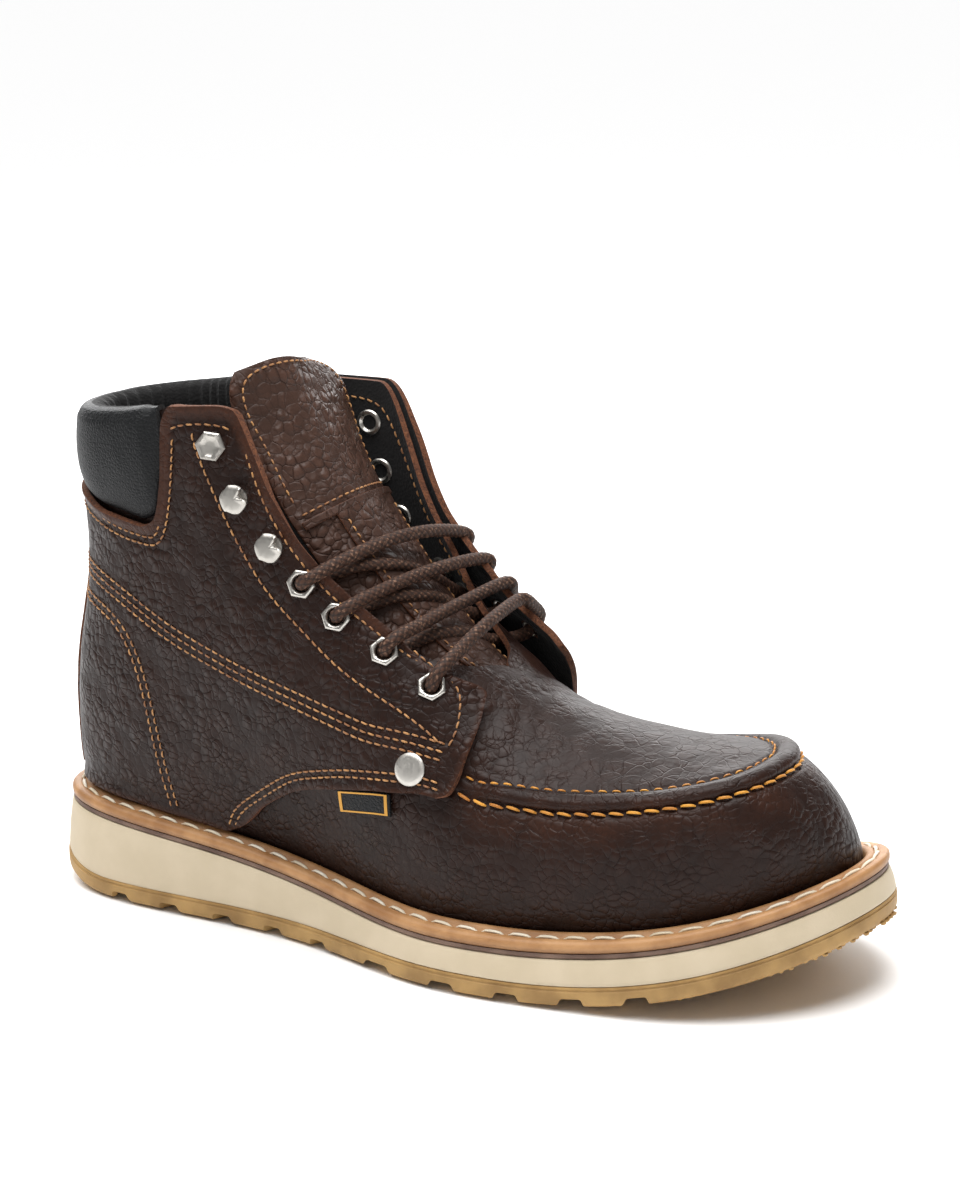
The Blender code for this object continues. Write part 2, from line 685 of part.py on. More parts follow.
def tongue_surface(u, v):
    """Outer face of the tongue; u runs across from lateral to medial, v from toe end to top."""
    at = np.linspace(0, 1, len(TONGUE_ROWS))
    get = {n: natural(at, column(TONGUE_ROWS, TONGUE_COLUMNS, n), v) for n in TONGUE_COLUMNS}
    step = 1e-3
    dx = natural(at, column(TONGUE_ROWS, TONGUE_COLUMNS, "x"), v + step) - get["x"]
    dz = natural(at, column(TONGUE_ROWS, TONGUE_COLUMNS, "z"), v + step) - get["z"]
    size = np.hypot(dx, dz)
    sag = np.where(u < 0, get["sag_lateral"], get["sag_medial"]) * u * u
    half = np.where(u < 0, get["half_lateral"], get["half_medial"])
    return np.stack([get["x"] - sag * dz / size, u * half, get["z"] + sag * dx / size], -1)


def build_tongue():
    """Padded leather tongue under the throat."""
    u, v = np.meshgrid(np.linspace(-1, 1, 9), np.linspace(0, 1, 13), indexing="ij")
    bm = bmesh.new()
    grid_faces(bm, tongue_surface(u, v))
    return shell(finish("tongue", bm, LEATHER, away_from=(-90.0, 0.0, 90.0)), TONGUE_WALL, False)


build_outsole()
build_midsole()
build_slip_layer()
build_welt()
build_insole()
build_upper()
build_tongue()


def ease(x):
    """Smooth step from 0 to 1."""
    x = np.clip(x, 0, 1)
    return x * x * (3 - 2 * x)


def flap_lift(s, t, side):
    """How far the free corner of the eyelet flap stands off the vamp."""
    most = FLAP_LIFT_LATERAL if side < 0 else FLAP_LIFT_MEDIAL
    return most * ease((np.asarray(s) - 0.43) / 0.12) * ease((np.asarray(t) - 0.52) / 0.3)


def quarter_places(part_s, part_t, side):
    """Places on the upper for a quarter; part_s runs heel to throat, part_t bottom to top."""
    at = column(QUARTER_ROWS, QUARTER_COLUMNS, "s")
    front = smooth(column(FRONT_ROWS, FRONT_COLUMNS, "part"), column(FRONT_ROWS, FRONT_COLUMNS, "s"), part_t)
    nominal = 0.004 + part_s * (FLAP_END - 0.004)
    s = nominal + (front - FLAP_END) * ease((nominal - 0.43) / (FLAP_END - 0.43))
    low = smooth(at, column(QUARTER_ROWS, QUARTER_COLUMNS, "low"), s)
    top = smooth(at, column(QUARTER_ROWS, QUARTER_COLUMNS, "top"), s) - throat_cut(s, side)
    return s, low + (top - low) * part_t


def build_quarter(name, side):
    """Outer panel with the eyelet flap, from the heel seam to the throat."""
    a, b = np.meshgrid(np.linspace(0, 1, 25), np.linspace(0, 1, 8), indexing="ij")
    s, t = quarter_places(a, b, side)
    points = skin(s, t, side) + skin_normal(s, t, side) * (SKIN_GAP + flap_lift(s, t, side))[..., None]
    bm = bmesh.new()
    grid_faces(bm, points)
    return shell(finish(name, bm, LEATHER, away_from=(-20.0, 0.0, 60.0)), QUARTER_WALL, True)


def collar_foot(s):
    """Lower edge of the collar, just above the quarter."""
    at = column(QUARTER_ROWS, QUARTER_COLUMNS, "s")
    return smooth(at, column(QUARTER_ROWS, QUARTER_COLUMNS, "top"), np.abs(s)) + 0.016


def build_collar():
    """Black padded cuff around the back of the shaft, with ends before the flaps."""
    places = COLLAR_END * np.sin(np.linspace(-0.5, 0.5, 29) * np.pi)
    bm = bmesh.new()
    rings = []
    for place in places:
        side = -1 if place < 0 else 1
        s = np.array([abs(place)])
        foot = collar_foot(s)
        ring = []
        for height, offset, lift in COLLAR_ROWS:
            t = foot + (1 - foot) * height
            normal = skin_normal(s, t, side)
            if abs(place) < 1e-6:
                normal[:, 1] = 0.0
            point = skin(s, t, side) + normal * offset
            point[:, 2] += lift
            ring.append(point[0])
        rings.append(ring)
    rows = loft(bm, rings)
    bm.faces.new(rows[0])
    bm.faces.new(rows[-1])
    return finish("collar", bm, BLACK)


def build_backstay():
    """Narrow strip over the heel seam, from the welt to the collar."""
    half = 0.04
    a, t = np.meshgrid(np.linspace(-half, half, 7), np.linspace(0.03, 0.77, 10), indexing="ij")
    offset = SKIN_GAP + QUARTER_WALL + GAP + 0.1
    points = np.zeros(a.shape + (3,))
    for side in (-1, 1):
        s = np.abs(a)
        mine = skin(s, t, side) + skin_normal(s, t, side) * offset
        chosen = a <= 0 if side < 0 else a > 0
        points[chosen] = mine[chosen]
    points[3, :, 1] = 0.0
    bm = bmesh.new()
    grid_faces(bm, points)
    return shell(finish("backstay", bm, LEATHER, away_from=(-60.0, 0.0, 70.0)), 1.2, True)


def build_side_tag():
    """Small plain tag hanging below the edge of the lateral quarter."""
    s, t = np.meshgrid(np.linspace(0.459, 0.510, 5), np.linspace(0.0, 1.0, 3), indexing="ij")
    at = column(QUARTER_ROWS, QUARTER_COLUMNS, "s")
    edge_t = smooth(at, column(QUARTER_ROWS, QUARTER_COLUMNS, "low"), s)
    t = edge_t - 0.008 - 0.068 * (1 - t)
    bm = bmesh.new()
    grid_faces(bm, skin(s, t, -1) + skin_normal(s, t, -1) * SKIN_GAP)
    return shell(finish("side_tag", bm, BLACK, away_from=(0.0, 0.0, 55.0)), 1.0, True)


def flap_face(s, t, side):
    """Outer face of a quarter, with the stand-off of its flap."""
    s = np.asarray(s, float)
    t = np.asarray(t, float)
    return skin(s, t, side) + skin_normal(s, t, side) * (FLAP_TOP + flap_lift(s, t, side))[..., None]


def seat_frame(place, side):
    """Point on the outer face of a flap, its normal, and two directions across it."""
    s = place[0] + np.array([0.0, -0.008, 0.008, 0.0, 0.0])
    t = place[1] + np.array([0.0, 0.0, 0.0, -0.03, 0.03])
    face = flap_face(s, np.minimum(t, 1.0), side)
    along = face[2] - face[1]
    up = face[4] - face[3]
    normal = np.cross(along, up) * -side
    normal = normal / np.linalg.norm(normal)
    up = up / np.linalg.norm(up)
    return face[0], normal, np.cross(up, normal), up


def ring_points(frame, radius, height, hexagon):
    """A ring of points around a seat, round or six-sided."""
    origin, normal, across, up = frame
    points = []
    for k in range(RING):
        turn = 2 * math.pi * k / RING
        r = radius
        if hexagon and k % 2:
            r = radius * math.cos(math.pi / 6)
        points.append(origin + across * r * math.sin(turn) + up * r * math.cos(turn) + normal * height)
    return points


def build_eyelet(name, place, side):
    """Six-sided eyelet with a round hole."""
    frame = seat_frame(place, side)
    bm = bmesh.new()
    loft(bm, [ring_points(frame, EYELET_R, SEAT, True), ring_points(frame, EYELET_R, SEAT + 0.6, True),
              ring_points(frame, EYELET_HOLE + 0.6, SEAT + EYELET_H, False),
              ring_points(frame, EYELET_HOLE, SEAT, False)], ring=True)
    return finish(name, bm, NICKEL)


def build_turned(name, place, side, rows):
    """Solid hardware from (radius, height, six-sided) rows."""
    frame = seat_frame(place, side)
    bm = bmesh.new()
    rings = loft(bm, [ring_points(frame, radius, SEAT + height, hexagon) for radius, height, hexagon in rows])
    bm.faces.new(rings[0])
    bm.faces.new(rings[-1])
    return finish(name, bm, NICKEL)


def bar_half(place, side, edge_s):
    """Half of a bar: out of the eyelet, along the flap and over its edge."""
    seat, normal, _, _ = seat_frame(place, side)
    start = seat + normal * SEAT
    edge_t = EDGE_T - float(throat_cut(edge_s, side))
    half_way, half_normal, _, _ = seat_frame(((place[0] + edge_s) / 2, (place[1] + edge_t) / 2), side)
    rim, rim_normal, _, rim_up = seat_frame((edge_s, edge_t), side)
    brow = rim + rim_up * (CORD_R + 2.0) + rim_normal * (CORD_R + BAR_CLEAR)
    via = half_way + half_normal * (CORD_R + BAR_CLEAR + 0.8)
    ahead = (via - seat) / np.linalg.norm(via - seat)
    bend = seat + normal * 4.0 + ahead * 2.6
    straight = [start, start + normal * 1.0, start + normal * 2.0]
    return straight + [bend, via, rim + rim_normal * (CORD_R + BAR_CLEAR), brow]


def bar_route(near, far, near_edge, far_edge):
    """Points of one bar, straight out of each eyelet and over both flap edges."""
    out = bar_half(near, -1, near_edge)
    back = bar_half(far, 1, far_edge)[::-1]
    middle = (out[-1] + back[0]) / 2 + np.array([1.5, 0.0, BAR_RISE])
    return out + [middle] + back


def build_bar(name, *ends):
    """One lace bar as a round cord."""
    route = np.array(bar_route(*ends))
    size = np.concatenate([[0.0], np.cumsum(np.linalg.norm(np.diff(route, axis=0), axis=1))])
    at = np.concatenate([size[:3], np.linspace(size[3], size[-4], 12), size[-3:]])
    smooth_route = np.stack([smooth(size, route[:, k], at) for k in range(3)], -1)
    line = bpy.data.curves.new(name, "CURVE")
    line.dimensions = "3D"
    line.bevel_depth = CORD_R * MM
    line.bevel_resolution = 2
    line.use_fill_caps = True
    spline = line.splines.new("POLY")
    spline.points.add(len(smooth_route) - 1)
    for point, (x, y, z) in zip(spline.points, smooth_route):
        point.co = (x * MM, (y - MIDDLE_Y) * MM, z * MM, 1.0)
    line.materials.append(material(name, *CORD))
    made = bpy.data.objects.new(name, line)
    boot.objects.link(made)
    return made


build_quarter("quarter_lateral", -1)
build_quarter("quarter_medial", 1)
build_collar()
build_backstay()
build_side_tag()
for number in range(4):
    build_eyelet(f"eyelet_lateral_{number + 1}", LATERAL_EYELETS[number], -1)
    build_eyelet(f"eyelet_medial_{number + 1}", MEDIAL_EYELETS[number], 1)
    build_bar(f"lace_bar_{number + 1}", LATERAL_EYELETS[number], MEDIAL_EYELETS[number],
              LATERAL_CROSSINGS[number], MEDIAL_CROSSINGS[number])
for number in range(3):
    build_turned(f"hook_lateral_{number + 1}", LATERAL_HOOKS[number], -1, HOOK_ROWS)
    build_turned(f"hook_medial_{number + 1}", MEDIAL_HOOKS[number], 1, HOOK_ROWS)
build_turned("rivet_lateral", RIVET_PLACE, -1, RIVET_ROWS)
build_turned("rivet_medial", RIVET_PLACE, 1, RIVET_ROWS)
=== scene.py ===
import math

import bmesh
import bpy
import numpy as np
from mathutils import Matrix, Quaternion, Vector, kdtree, noise


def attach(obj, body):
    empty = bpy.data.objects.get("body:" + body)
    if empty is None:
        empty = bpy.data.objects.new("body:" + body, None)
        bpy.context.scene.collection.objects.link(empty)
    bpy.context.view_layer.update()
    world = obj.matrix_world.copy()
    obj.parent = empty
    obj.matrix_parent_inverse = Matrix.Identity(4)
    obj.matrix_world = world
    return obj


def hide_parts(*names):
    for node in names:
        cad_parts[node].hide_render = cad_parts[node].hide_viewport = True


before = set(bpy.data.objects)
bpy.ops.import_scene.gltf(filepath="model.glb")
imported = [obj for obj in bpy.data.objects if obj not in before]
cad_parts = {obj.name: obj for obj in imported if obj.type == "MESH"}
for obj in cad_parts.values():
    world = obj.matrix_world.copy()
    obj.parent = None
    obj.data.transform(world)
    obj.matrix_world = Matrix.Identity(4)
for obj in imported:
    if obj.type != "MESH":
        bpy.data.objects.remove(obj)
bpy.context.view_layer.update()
bpy.ops.object.select_all(action="DESELECT")

# Outsole: a slab of moulded gum rubber, cemented under the midsole. Zigzag grooves part it into lugs
# that carry small round studs, with ribs at the back of the heel and a plain pad under the waist.
# Sizes are in millimetres: +X to the toe, +Y to the inner side, +Z up.
MM = 0.001
LENGTH = 302.0
SOLE_COLUMNS = ("place", "lateral", "medial")
SOLE_ROWS = [
    (-1.00, 40.0, 41.0),
    (-0.62, 34.0, 40.0),
    (-0.20, 39.0, 38.0),
    (0.10, 53.0, 46.0),
    (0.42, 55.5, 56.0),
    (0.75, 56.0, 57.0),
    (1.00, 51.0, 52.0),
]
TOE_SWING = 10.0
SWING_FROM = -0.2
END_ROUND = 4.2
TOE_SPRING = 23.0
SPRING_FROM = 0.30
HEEL_LIFT = 6.0
HEEL_FROM = 0.80
HEEL_SPAN = 0.20
OUTSOLE = 6.5
MERGE_MM = 0.02
GUM_SHADE = "#8f6d3c"
GUM_LIGHT = "#b48f56"


def column(rows, names, name):
    """One named column of a table."""
    return np.array([row[names.index(name)] for row in rows], float)


def natural(knots, values, x):
    """Natural cubic spline through the rows of a table."""
    k = np.asarray(knots, float)
    v = np.asarray(values, float)
    x = np.asarray(x, float)
    n = len(k)
    h = np.diff(k)
    a = np.eye(n)
    r = np.zeros(n)
    for j in range(1, n - 1):
        a[j, j - 1:j + 2] = (h[j - 1], 2 * (h[j - 1] + h[j]), h[j])
        r[j] = 6 * ((v[j + 1] - v[j]) / h[j] - (v[j] - v[j - 1]) / h[j - 1])
    c = np.linalg.solve(a, r)
    i = np.clip(np.searchsorted(k, x) - 1, 0, n - 2)
    p = (k[i + 1] - x) / h[i]
    q = (x - k[i]) / h[i]
    bend = ((p ** 3 - p) * c[i] + (q ** 3 - q) * c[i + 1]) * h[i] ** 2 / 6
    return p * v[i] + q * v[i + 1] + bend


def unit(way):
    """The same directions at length one."""
    return way / np.linalg.norm(way, axis=-1, keepdims=True)


def edge_raw(s, side):
    """Bottom edge of the sole at s, from the heel (0) to the toe (1), on one side."""
    xi = -np.cos(np.pi * np.asarray(s, float))
    name = "lateral" if side < 0 else "medial"
    places = column(SOLE_ROWS, SOLE_COLUMNS, "place")
    half = natural(places, column(SOLE_ROWS, SOLE_COLUMNS, name), xi)
    round_off = np.sqrt(np.clip(1 - np.abs(xi) ** END_ROUND, 0, 1))
    swing = TOE_SWING * np.clip((xi - SWING_FROM) / (1 - SWING_FROM), 0, 1) ** 2
    return np.stack([xi * LENGTH / 2, swing + side * half * round_off], -1)


def edge(s, side, inset):
    """Sole outline moved inward by an even inset."""
    s = np.asarray(s, float)
    step = 1e-4
    tangent = edge_raw(np.clip(s + step, 0, 1), side) - edge_raw(np.clip(s - step, 0, 1), side)
    ends = (s < step) | (s > 1 - step)
    tangent[ends] = np.where(s[ends, None] < 0.5, (0.0, 1.0), (0.0, -1.0)) * (1, side)
    tangent = unit(tangent)
    inward = np.stack([tangent[..., 1], -tangent[..., 0]], -1) * side
    return edge_raw(s, side) + inward * np.reshape(inset, np.shape(inset) + (1,))


def toe_rise(x):
    """Lift of the whole sole under the toes."""
    part = (np.asarray(x) / (LENGTH / 2) - SPRING_FROM) / (1 - SPRING_FROM)
    return TOE_SPRING * np.clip(part, 0, 1) ** 2


def ground_rise(x):
    """Lift of the bottom face: toe spring and the rounded back of the heel."""
    back = np.clip((-np.asarray(x) / (LENGTH / 2) - HEEL_FROM) / HEEL_SPAN, 0, 1)
    return toe_rise(x) + HEEL_LIFT * back ** 2


OUTLINE_S = np.linspace(0, 1, 401)
MIDDLE_Y = float(edge_raw(OUTLINE_S, 1)[:, 1].max() + edge_raw(OUTLINE_S, -1)[:, 1].min()) / 2


def in_frame(points):
    """Millimetres of the last to metres of the frame."""
    return (np.asarray(points, float) - (0.0, MIDDLE_Y, 0.0)) * MM


def take_up(made):
    """Select one object alone and make it active."""
    bpy.ops.object.select_all(action="DESELECT")
    made.select_set(True)
    bpy.context.view_layer.objects.active = made


def new_piece(name, points, faces):
    """A mesh object from points in millimetres, selected and active."""
    mesh = bpy.data.meshes.new(name)
    mesh.from_pydata(in_frame(points).tolist(), [], faces)
    made = bpy.data.objects.new(name, mesh)
    bpy.context.scene.collection.objects.link(made)
    take_up(made)
    return made


def close_seams(made, turn_out=True):
    """Merge doubled points and turn all faces outward."""
    bpy.ops.object.mode_set(mode="EDIT")
    bpy.ops.mesh.select_all(action="SELECT")
    bpy.ops.mesh.remove_doubles(threshold=MERGE_MM * MM)
    if turn_out:
        bpy.ops.mesh.normals_make_consistent(inside=False)
    bpy.ops.object.mode_set(mode="OBJECT")
    return made


def grid_quads(rows, columns, close_rows=False, close_columns=False):
    """Quads over a grid of numbered points."""
    faces = []
    for i in range(rows if close_rows else rows - 1):
        for j in range(columns if close_columns else columns - 1):
            i2 = (i + 1) % rows
            j2 = (j + 1) % columns
            faces.append((i * columns + j, i2 * columns + j, i2 * columns + j2, i * columns + j2))
    return faces


def smooth_shade(made, degrees=40.0):
    """Smooth shading with sharp edges kept."""
    take_up(made)
    bpy.ops.object.shade_smooth_by_angle(angle=math.radians(degrees))
    return made


SOLE_STEPS = 180


def sole_layer(name, rows, across=5):
    """A layer of the sole from (inset, height by x) rows, bottom to top, as one closed loft."""
    s = np.linspace(0, 1, SOLE_STEPS + 1)
    sides = {}
    for side in (-1, 1):
        flat = [edge(s, side, inset) for inset, _ in rows]
        tall = [height(xy[:, 0]) for xy, (_, height) in zip(flat, rows)]
        sides[side] = [np.column_stack([xy, z]) for xy, z in zip(flat, tall)]
    ring = list(sides[-1])
    parts = np.arange(1, across + 1) / (across + 1)
    ring += [sides[-1][-1] * (1 - p) + sides[1][-1] * p for p in parts]
    ring += sides[1][::-1]
    ring += [sides[1][0] * (1 - p) + sides[-1][0] * p for p in parts]
    points = np.stack(ring, 1)
    faces = grid_quads(points.shape[0], points.shape[1], close_columns=True)
    return close_seams(new_piece(name, points.reshape(-1, 3), faces))


GROOVE_FIRST = -117.0
GROOVE_PITCH = 23.0
GROOVE_COUNT = 10
ZIGZAG_PERIOD = 27.0
ZIGZAG_SWING = 9.0
# Section of a groove: height, half width.
GROOVE_ROWS = [(-3.0, 5.9), (0.0, 5.4), (0.3, 4.9), (0.8, 4.5), (2.2, 3.8), (2.6, 3.4), (2.8, 2.8)]


def zigzag(y):
    """Swing of a groove's middle line at y."""
    return ZIGZAG_SWING * (np.abs((np.asarray(y) / ZIGZAG_PERIOD) % 1.0 - 0.5) * 2 - 0.5)


def groove_tool():
    """All grooves of the tread as one set of bent prisms."""
    profile = [(-half, height) for height, half in GROOVE_ROWS]
    profile += [(half, height) for height, half in GROOVE_ROWS[::-1]]
    y = np.arange(-12, 13) * ZIGZAG_PERIOD / 4
    points = []
    faces = []
    for k in range(GROOVE_COUNT):
        first = len(points)
        for station in y:
            for across, height in profile:
                x = GROOVE_FIRST + k * GROOVE_PITCH + zigzag(station) + across
                points.append((x, station, height + float(ground_rise(x))))
        quads = grid_quads(len(y), len(profile), close_columns=True)
        faces += [tuple(first + i for i in quad) for quad in quads]
        faces.append(tuple(first + i for i in range(len(profile))))
        last = first + (len(y) - 1) * len(profile)
        faces.append(tuple(last + i for i in range(len(profile)))[::-1])
    return close_seams(new_piece("tread_grooves", points, faces))


def carve(target, tool, operation):
    """Boolean a tool into a piece and remove the tool."""
    take_up(target)
    cut = target.modifiers.new("cut", "BOOLEAN")
    cut.operation = operation
    cut.object = tool
    bpy.ops.object.modifier_apply(modifier="cut")
    bpy.data.objects.remove(tool, do_unlink=True)


# Section of the outsole's side: inset, height.
SIDE_ROWS = [(1.6, 0.0), (0.7, 0.4), (0.15, 1.2), (0.0, 2.2), (0.05, 4.9), (0.4, 5.2), (0.45, 5.6),
             (0.2, 5.9), (0.4, OUTSOLE)]
outsole_rows = [(inset, lambda x, h=height: ground_rise(x) + h) for inset, height in SIDE_ROWS]
outsole = sole_layer("gum_outsole", outsole_rows)
carve(outsole, groove_tool(), "DIFFERENCE")

PAD_LENGTH = 38.0
PAD_WIDTH = 20.0
PAD_HEIGHT = 5.0
PAD_LEVEL = 3.0
PAD_SOFT = 0.8
PAD_PLACE = (-22.0, 2.0)
PAD_TURN = 8.0
bpy.ops.object.select_all(action="DESELECT")
bpy.ops.mesh.primitive_cube_add(size=MM)
pad = bpy.context.object
pad.dimensions = (PAD_LENGTH * MM, PAD_WIDTH * MM, PAD_HEIGHT * MM)
pad.rotation_euler.z = math.radians(PAD_TURN)
pad.location = in_frame((*PAD_PLACE, PAD_LEVEL))
bpy.ops.object.transform_apply(location=True, rotation=True, scale=True)
soften = pad.modifiers.new("soften", "BEVEL")
soften.width = PAD_SOFT * MM
soften.segments = 2
bpy.ops.object.modifier_apply(modifier="soften")
carve(outsole, pad, "UNION")

STUD_PITCH = 3.1
STUD_HEIGHT = 0.7
# Section of a stud: radius, height.
STUD_ROWS = [(1.15, 0.25), (1.0, -0.35), (0.55, -STUD_HEIGHT)]
STUD_SIDES = 7
STUD_FIRST = -118.0
STUD_SPAN = (-60.0, 70.0)
STUD_INSET = 3.4
GROOVE_CLEAR = 7.6
PAD_CLEAR = 1.5


def sole_span(x, inset):
    """Lateral and medial ends of the sole at x, moved inward by an inset."""
    s = np.array([math.acos(-x / (LENGTH / 2)) / math.pi])
    return edge(s, -1, inset)[0, 1], edge(s, 1, inset)[0, 1]


def stud_places():
    """Middles of the studs: a close lattice, kept where a lug is under it."""
    places = []
    row_step = STUD_PITCH * math.sqrt(3) / 2
    turn = math.radians(PAD_TURN)
    for i, x in enumerate(np.arange(STUD_FIRST, LENGTH / 2, row_step)):
        low, high = sole_span(x, STUD_INSET)
        for y in np.arange(*STUD_SPAN, STUD_PITCH) + (i % 2) * STUD_PITCH / 2:
            on_groove = x - float(zigzag(y)) - GROOVE_FIRST
            near = round(on_groove / GROOVE_PITCH)
            clear = abs(on_groove - near * GROOVE_PITCH) > GROOVE_CLEAR or not 0 <= near < GROOVE_COUNT
            along = (x - PAD_PLACE[0]) * math.cos(turn) + (y - PAD_PLACE[1]) * math.sin(turn)
            over = (y - PAD_PLACE[1]) * math.cos(turn) - (x - PAD_PLACE[0]) * math.sin(turn)
            on_pad = abs(along) < PAD_LENGTH / 2 + PAD_CLEAR and abs(over) < PAD_WIDTH / 2 + PAD_CLEAR
            if low < y < high and clear and not on_pad:
                places.append((x, y))
    return np.array(places)


def studs():
    """The round studs on all lugs, as one mesh."""
    places = stud_places()
    turn = np.arange(STUD_SIDES) * 2 * np.pi / STUD_SIDES
    rings = [np.column_stack([r * np.cos(turn), r * np.sin(turn), np.full(STUD_SIDES, z)])
             for r, z in STUD_ROWS]
    one = np.concatenate(rings)
    faces = [face[::-1] for face in grid_quads(len(STUD_ROWS), STUD_SIDES, close_columns=True)]
    faces.append(tuple(range(len(one) - STUD_SIDES, len(one)))[::-1])
    faces.append(tuple(range(STUD_SIDES)))
    middles = np.column_stack([places, ground_rise(places[:, 0])])
    points = (middles[:, None] + one[None]).reshape(-1, 3)
    all_faces = [tuple(i + k * len(one) for i in face) for k in range(len(places)) for face in faces]
    return close_seams(new_piece("tread_studs", points, all_faces))


HEEL_RIB_COUNT = 6
HEEL_RIB_FIRST = -128.0
HEEL_RIB_PITCH = 3.4
HEEL_RIB_INSET = 5.5
HEEL_RIB_STATIONS = 9
# Section of a heel rib: distance across, height.
HEEL_RIB_ROWS = [(-1.1, 0.3), (-0.5, -0.6), (0.5, -0.6), (1.1, 0.3)]


def heel_ribs():
    """Fine straight ribs across the plain back of the heel."""
    points = []
    faces = []
    sides = len(HEEL_RIB_ROWS)
    for k in range(HEEL_RIB_COUNT):
        middle = HEEL_RIB_FIRST - k * HEEL_RIB_PITCH
        first = len(points)
        for y in np.linspace(*sole_span(middle, HEEL_RIB_INSET), HEEL_RIB_STATIONS):
            for across, height in HEEL_RIB_ROWS:
                x = middle + across
                points.append((x, y, float(ground_rise(x)) + height))
        quads = grid_quads(HEEL_RIB_STATIONS, sides, close_columns=True)
        faces += [tuple(first + i for i in quad) for quad in quads]
        faces.append(tuple(range(first, first + sides)))
        faces.append(tuple(range(len(points) - sides, len(points))))
    return close_seams(new_piece("heel_ribs", points, faces))


def linear(code):
    """Linear colour of an sRGB hex value."""
    parts = [int(code[i:i + 2], 16) / 255 for i in (1, 3, 5)]
    return [p / 12.92 if p <= 0.04045 else ((p + 0.055) / 1.055) ** 2.4 for p in parts] + [1.0]


def add_node(made, kind, settings=None, values=None):
    """A node in a material, with its settings and the values or links of its sockets."""
    node = made.node_tree.nodes.new(kind)
    for key, value in (settings or {}).items():
        setattr(node, key, value)
    for key, value in (values or {}).items():
        if isinstance(value, bpy.types.NodeSocket):
            made.node_tree.links.new(value, node.inputs[key])
        else:
            node.inputs[key].default_value = value
    return node


def new_material(name, values):
    """A material with its shader's fixed values, and its Object coordinates."""
    made = bpy.data.materials.new(name)
    made.use_nodes = True
    shader = made.node_tree.nodes["Principled BSDF"]
    for key, value in values.items():
        shader.inputs[key].default_value = value
    place = add_node(made, "ShaderNodeTexCoord").outputs["Object"]
    return made, shader, place


def wire(made, shader, outputs):
    """Link outputs of a material's nodes to sockets of its shader."""
    for key, output in outputs.items():
        made.node_tree.links.new(output, shader.inputs[key])
    return made


def moulded_rubber(name, shade, light, grit_mm, relief_mm):
    """Moulded rubber or foam: matt, cloudy in tone, with a fine grit left by the mould."""
    made, shader, place = new_material(name, {"Roughness": 0.62, "IOR": 1.5})
    cloud = add_node(made, "ShaderNodeTexNoise", None,
                     {"Vector": place, "Scale": 1 / (14 * MM), "Detail": 4.0})
    grit = add_node(made, "ShaderNodeTexNoise", None,
                    {"Vector": place, "Scale": 1 / (grit_mm * MM), "Detail": 3.0})
    tone = add_node(made, "ShaderNodeMapRange", {"interpolation_type": "SMOOTHSTEP"},
                    {"Value": cloud.outputs["Fac"], "From Min": 0.3, "From Max": 0.7})
    colour = add_node(made, "ShaderNodeMixRGB", None,
                      {"Fac": tone.outputs["Result"], "Color1": linear(shade), "Color2": linear(light)})
    bump = add_node(made, "ShaderNodeBump", None,
                    {"Strength": 1.0, "Distance": relief_mm * MM, "Height": grit.outputs["Fac"]})
    return wire(made, shader, {"Base Color": colour.outputs["Color"], "Normal": bump.outputs["Normal"]})


gum = moulded_rubber("gum_rubber_moulded", GUM_SHADE, GUM_LIGHT, grit_mm=1.4, relief_mm=0.12)
for made in (outsole, studs(), heel_ribs()):
    smooth_shade(made)
    made.data.materials.clear()
    made.data.materials.append(gum)
    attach(made, "root")
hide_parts("outsole")

# Midsole: a wedge of cream foam rubber, thick under the heel and thin under the toes,
# cemented between the outsole and the thin slip layer.
FLARE = 2.9
GAP = 0.3
MID_COLUMNS = ("place", "top")
MID_ROWS = [(-1.00, 29.0), (-0.45, 22.0), (0.00, 14.5), (0.40, 14.5), (1.00, 14.5)]
# Section of the midsole's side: inset, part of the height.
MIDSOLE_ROWS = [(0.6, -0.012), (0.45, 0.02), (0.6, 0.15), (1.2, 0.5), (2.1, 0.85), (2.5, 0.97), (FLARE, 1.0)]
FOAM_SHADE = "#c8b89c"
FOAM_LIGHT = "#cfbfa4"


def mid_top(x):
    """Height of the top of the midsole."""
    xi = np.clip(np.asarray(x, float) / (LENGTH / 2), -1, 1)
    places = column(MID_ROWS, MID_COLUMNS, "place")
    return natural(places, column(MID_ROWS, MID_COLUMNS, "top"), xi) + toe_rise(x)


def mid_level(part):
    """Height function a part of the way up the midsole's side."""
    def level(x):
        return (OUTSOLE + GAP + ground_rise(x)) * (1 - part) + mid_top(x) * part
    return level


midsole = sole_layer("foam_midsole", [(inset, mid_level(part)) for inset, part in MIDSOLE_ROWS])
smooth_shade(midsole)
foam = moulded_rubber("foam_rubber_moulded", FOAM_SHADE, FOAM_LIGHT, grit_mm=1.0, relief_mm=0.05)
midsole.data.materials.append(foam)
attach(midsole, "root")
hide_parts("midsole")

# Slip layer: a thin dark board between midsole and welt. Only its cut edge shows, as a dark line
# that is a little rough where it was trimmed.
SLIP = 1.8
# Section of the board's side: inset, height above the midsole.
SLIP_ROWS = [(FLARE + 0.25, GAP), (FLARE - 0.05, 0.8), (FLARE + 0.15, SLIP)]
SLIP_SHADE = "#5e473c"
SLIP_LIGHT = "#836a5b"


def above_mid(height):
    """Height function above the top of the midsole."""
    return lambda x: mid_top(x) + height


slip = sole_layer("slip_board", [(inset, above_mid(height)) for inset, height in SLIP_ROWS])
smooth_shade(slip)
board = moulded_rubber("slip_board_trimmed", SLIP_SHADE, SLIP_LIGHT, grit_mm=2.2, relief_mm=0.3)
slip.data.materials.append(board)
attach(slip, "root")
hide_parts("slip_layer")

# Welt: a strip of tan leather sewn all round the foot of the upper. Its outer edge is rounded, a channel
# along the top holds the thread, and a rolled bead stands against the upper.
WELT = 5.2
